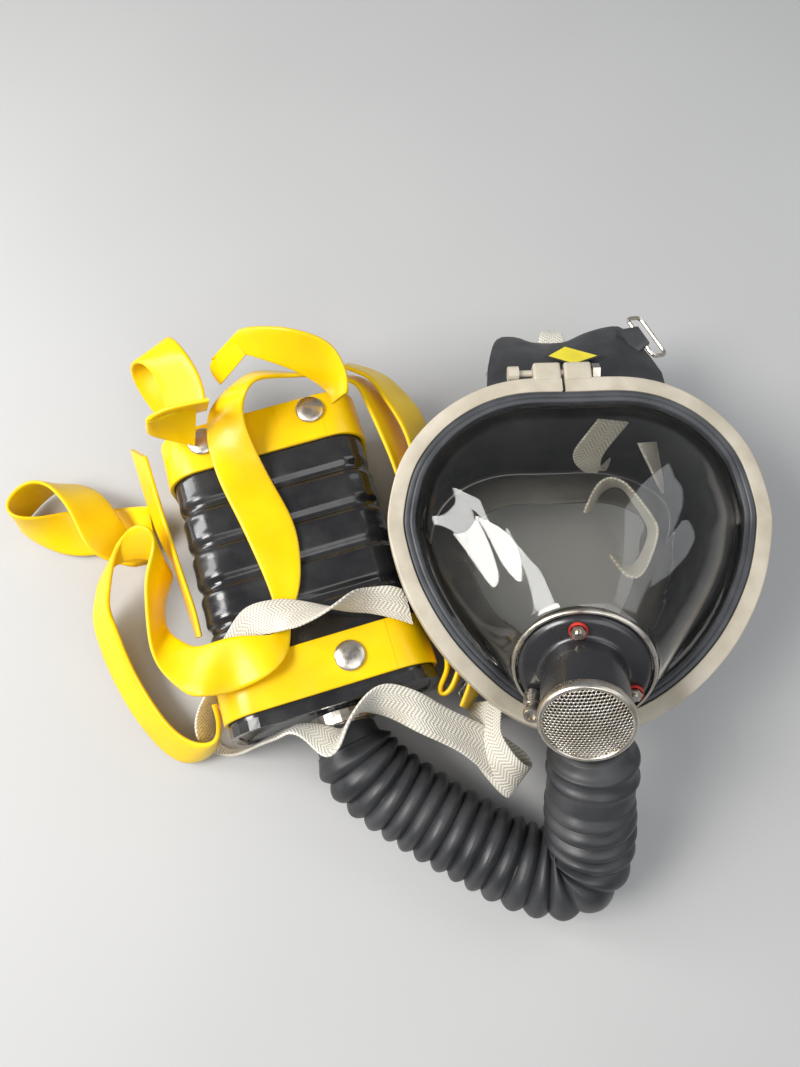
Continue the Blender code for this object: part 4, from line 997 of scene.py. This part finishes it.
def make_hose():
    line = relaxed(smooth_line(HOSE_ROUTE, HOSE_STATIONS), 60)
    along = unit(np.gradient(line, axis=0))
    run = travelled(line)
    length = float(run[-1])
    side = np.cross(along[0], (0, 0, 1.0))
    rows = []
    turns = np.linspace(0, 2 * math.pi, 56, endpoint=False)
    for spot, ahead, part in zip(line, along, run / length):
        side = unit(side - ahead * float(side @ ahead))
        up = np.cross(side, ahead)
        radius = hose_radius(part, length)
        rows.append([spot + radius * (side * math.cos(a) + up * math.sin(a)) for a in turns])
    mesh = facing_out(lofted("hose", rows, around=True, caps=True))
    hose = put("ribbed_hose", mesh, LAYOUT, KIT["rubber"], ("breathing_hose",),
               smooth=80)


# ---- room -------------------------------------------------------------------

def area_light(name, place, aim, size, power, colour=(1.0, 1.0, 1.0), size_y=None):
    """A lamp, square unless size_y is given, aimed at a point; metres and watts."""
    light = bpy.data.lights.new(name, "AREA")
    light.energy, light.size, light.color = power, size, colour
    if size_y:
        light.shape, light.size_y = "RECTANGLE", size_y
    lamp = bpy.data.objects.new(name, light)
    bpy.context.scene.collection.objects.link(lamp)
    lamp.location = place
    lamp.rotation_euler = (Vector(aim) - Vector(place)).to_track_quat("-Z", "Y").to_euler()


def make_room():
    reach = 3
    corners = ((-reach, -reach, 0), (reach, -reach, 0), (reach, reach, 0), (-reach, reach, 0))
    floor = mesh_from("floor", corners, [(0, 1, 2, 3)])
    made = shader_of("floor_paint", (0.46, 0.46, 0.455), 0.7)
    mixed_colour(made, (0.45, 0.45, 0.445), (0.48, 0.48, 0.475), 3, 3)
    floor.materials.append(made)
    table = bpy.data.objects.new("floor", floor)
    table.location.z = -0.0002
    bpy.context.scene.collection.objects.link(table)
    world = bpy.data.worlds.new("studio")
    world.use_nodes = True
    background = world.node_tree.nodes["Background"]
    background.inputs["Color"].default_value = (0.9, 0.93, 1.0, 1.0)
    background.inputs["Strength"].default_value = 0.26
    bpy.context.scene.world = world
    bpy.context.scene.view_settings.view_transform = "Standard"
    area_light("key", (-0.75, -0.20, 0.95), (0.0, 0.0, 0.03), 0.5, 13.5, (1.0, 0.98, 0.95))
    area_light("window", (-0.78, 0.16, 0.52), (0.05, 0.0, 0.06), 0.22, 4.6, (1.0, 1.0, 1.0), 0.8)
    area_light("fill", (0.9, 0.35, 0.9), (0.05, 0.0, 0.03), 0.8, 3.6, (0.93, 0.96, 1.0))
    area_light("top", (0.35, -0.6, 1.2), (0.0, 0.0, 0.05), 0.9, 5.5)


def make_camera():
    """The photograph's view: close, from above the near edge."""
    lens = bpy.data.cameras.new("camera")
    lens.sensor_width, lens.lens, lens.clip_start = 36.0, VIEW_LENS, 0.01
    camera = bpy.data.objects.new("camera", lens)
    bpy.context.scene.collection.objects.link(camera)
    tilt = math.radians(VIEW_ELEVATION)
    camera.location = LAYOUT @ (Vector((0, -math.cos(tilt), math.sin(tilt))) * VIEW_DISTANCE)
    camera.rotation_euler = (math.radians(90 - VIEW_ELEVATION), 0, 0)
    bpy.context.scene.camera = camera


def main():
    make_camera()
    make_hose()
    dress_cad_nodes()
    make_frame_rings()
    make_clamp_band()
    make_lens()
    make_forehead()
    make_buckle_tabs()
    make_port()
    make_cover()
    make_can()
    make_can_band("upper_band", UPPER_BAND_TOP)
    make_can_band("lower_band", LOWER_BAND_TOP)
    make_snaps()
    make_straps()
    make_room()


main()
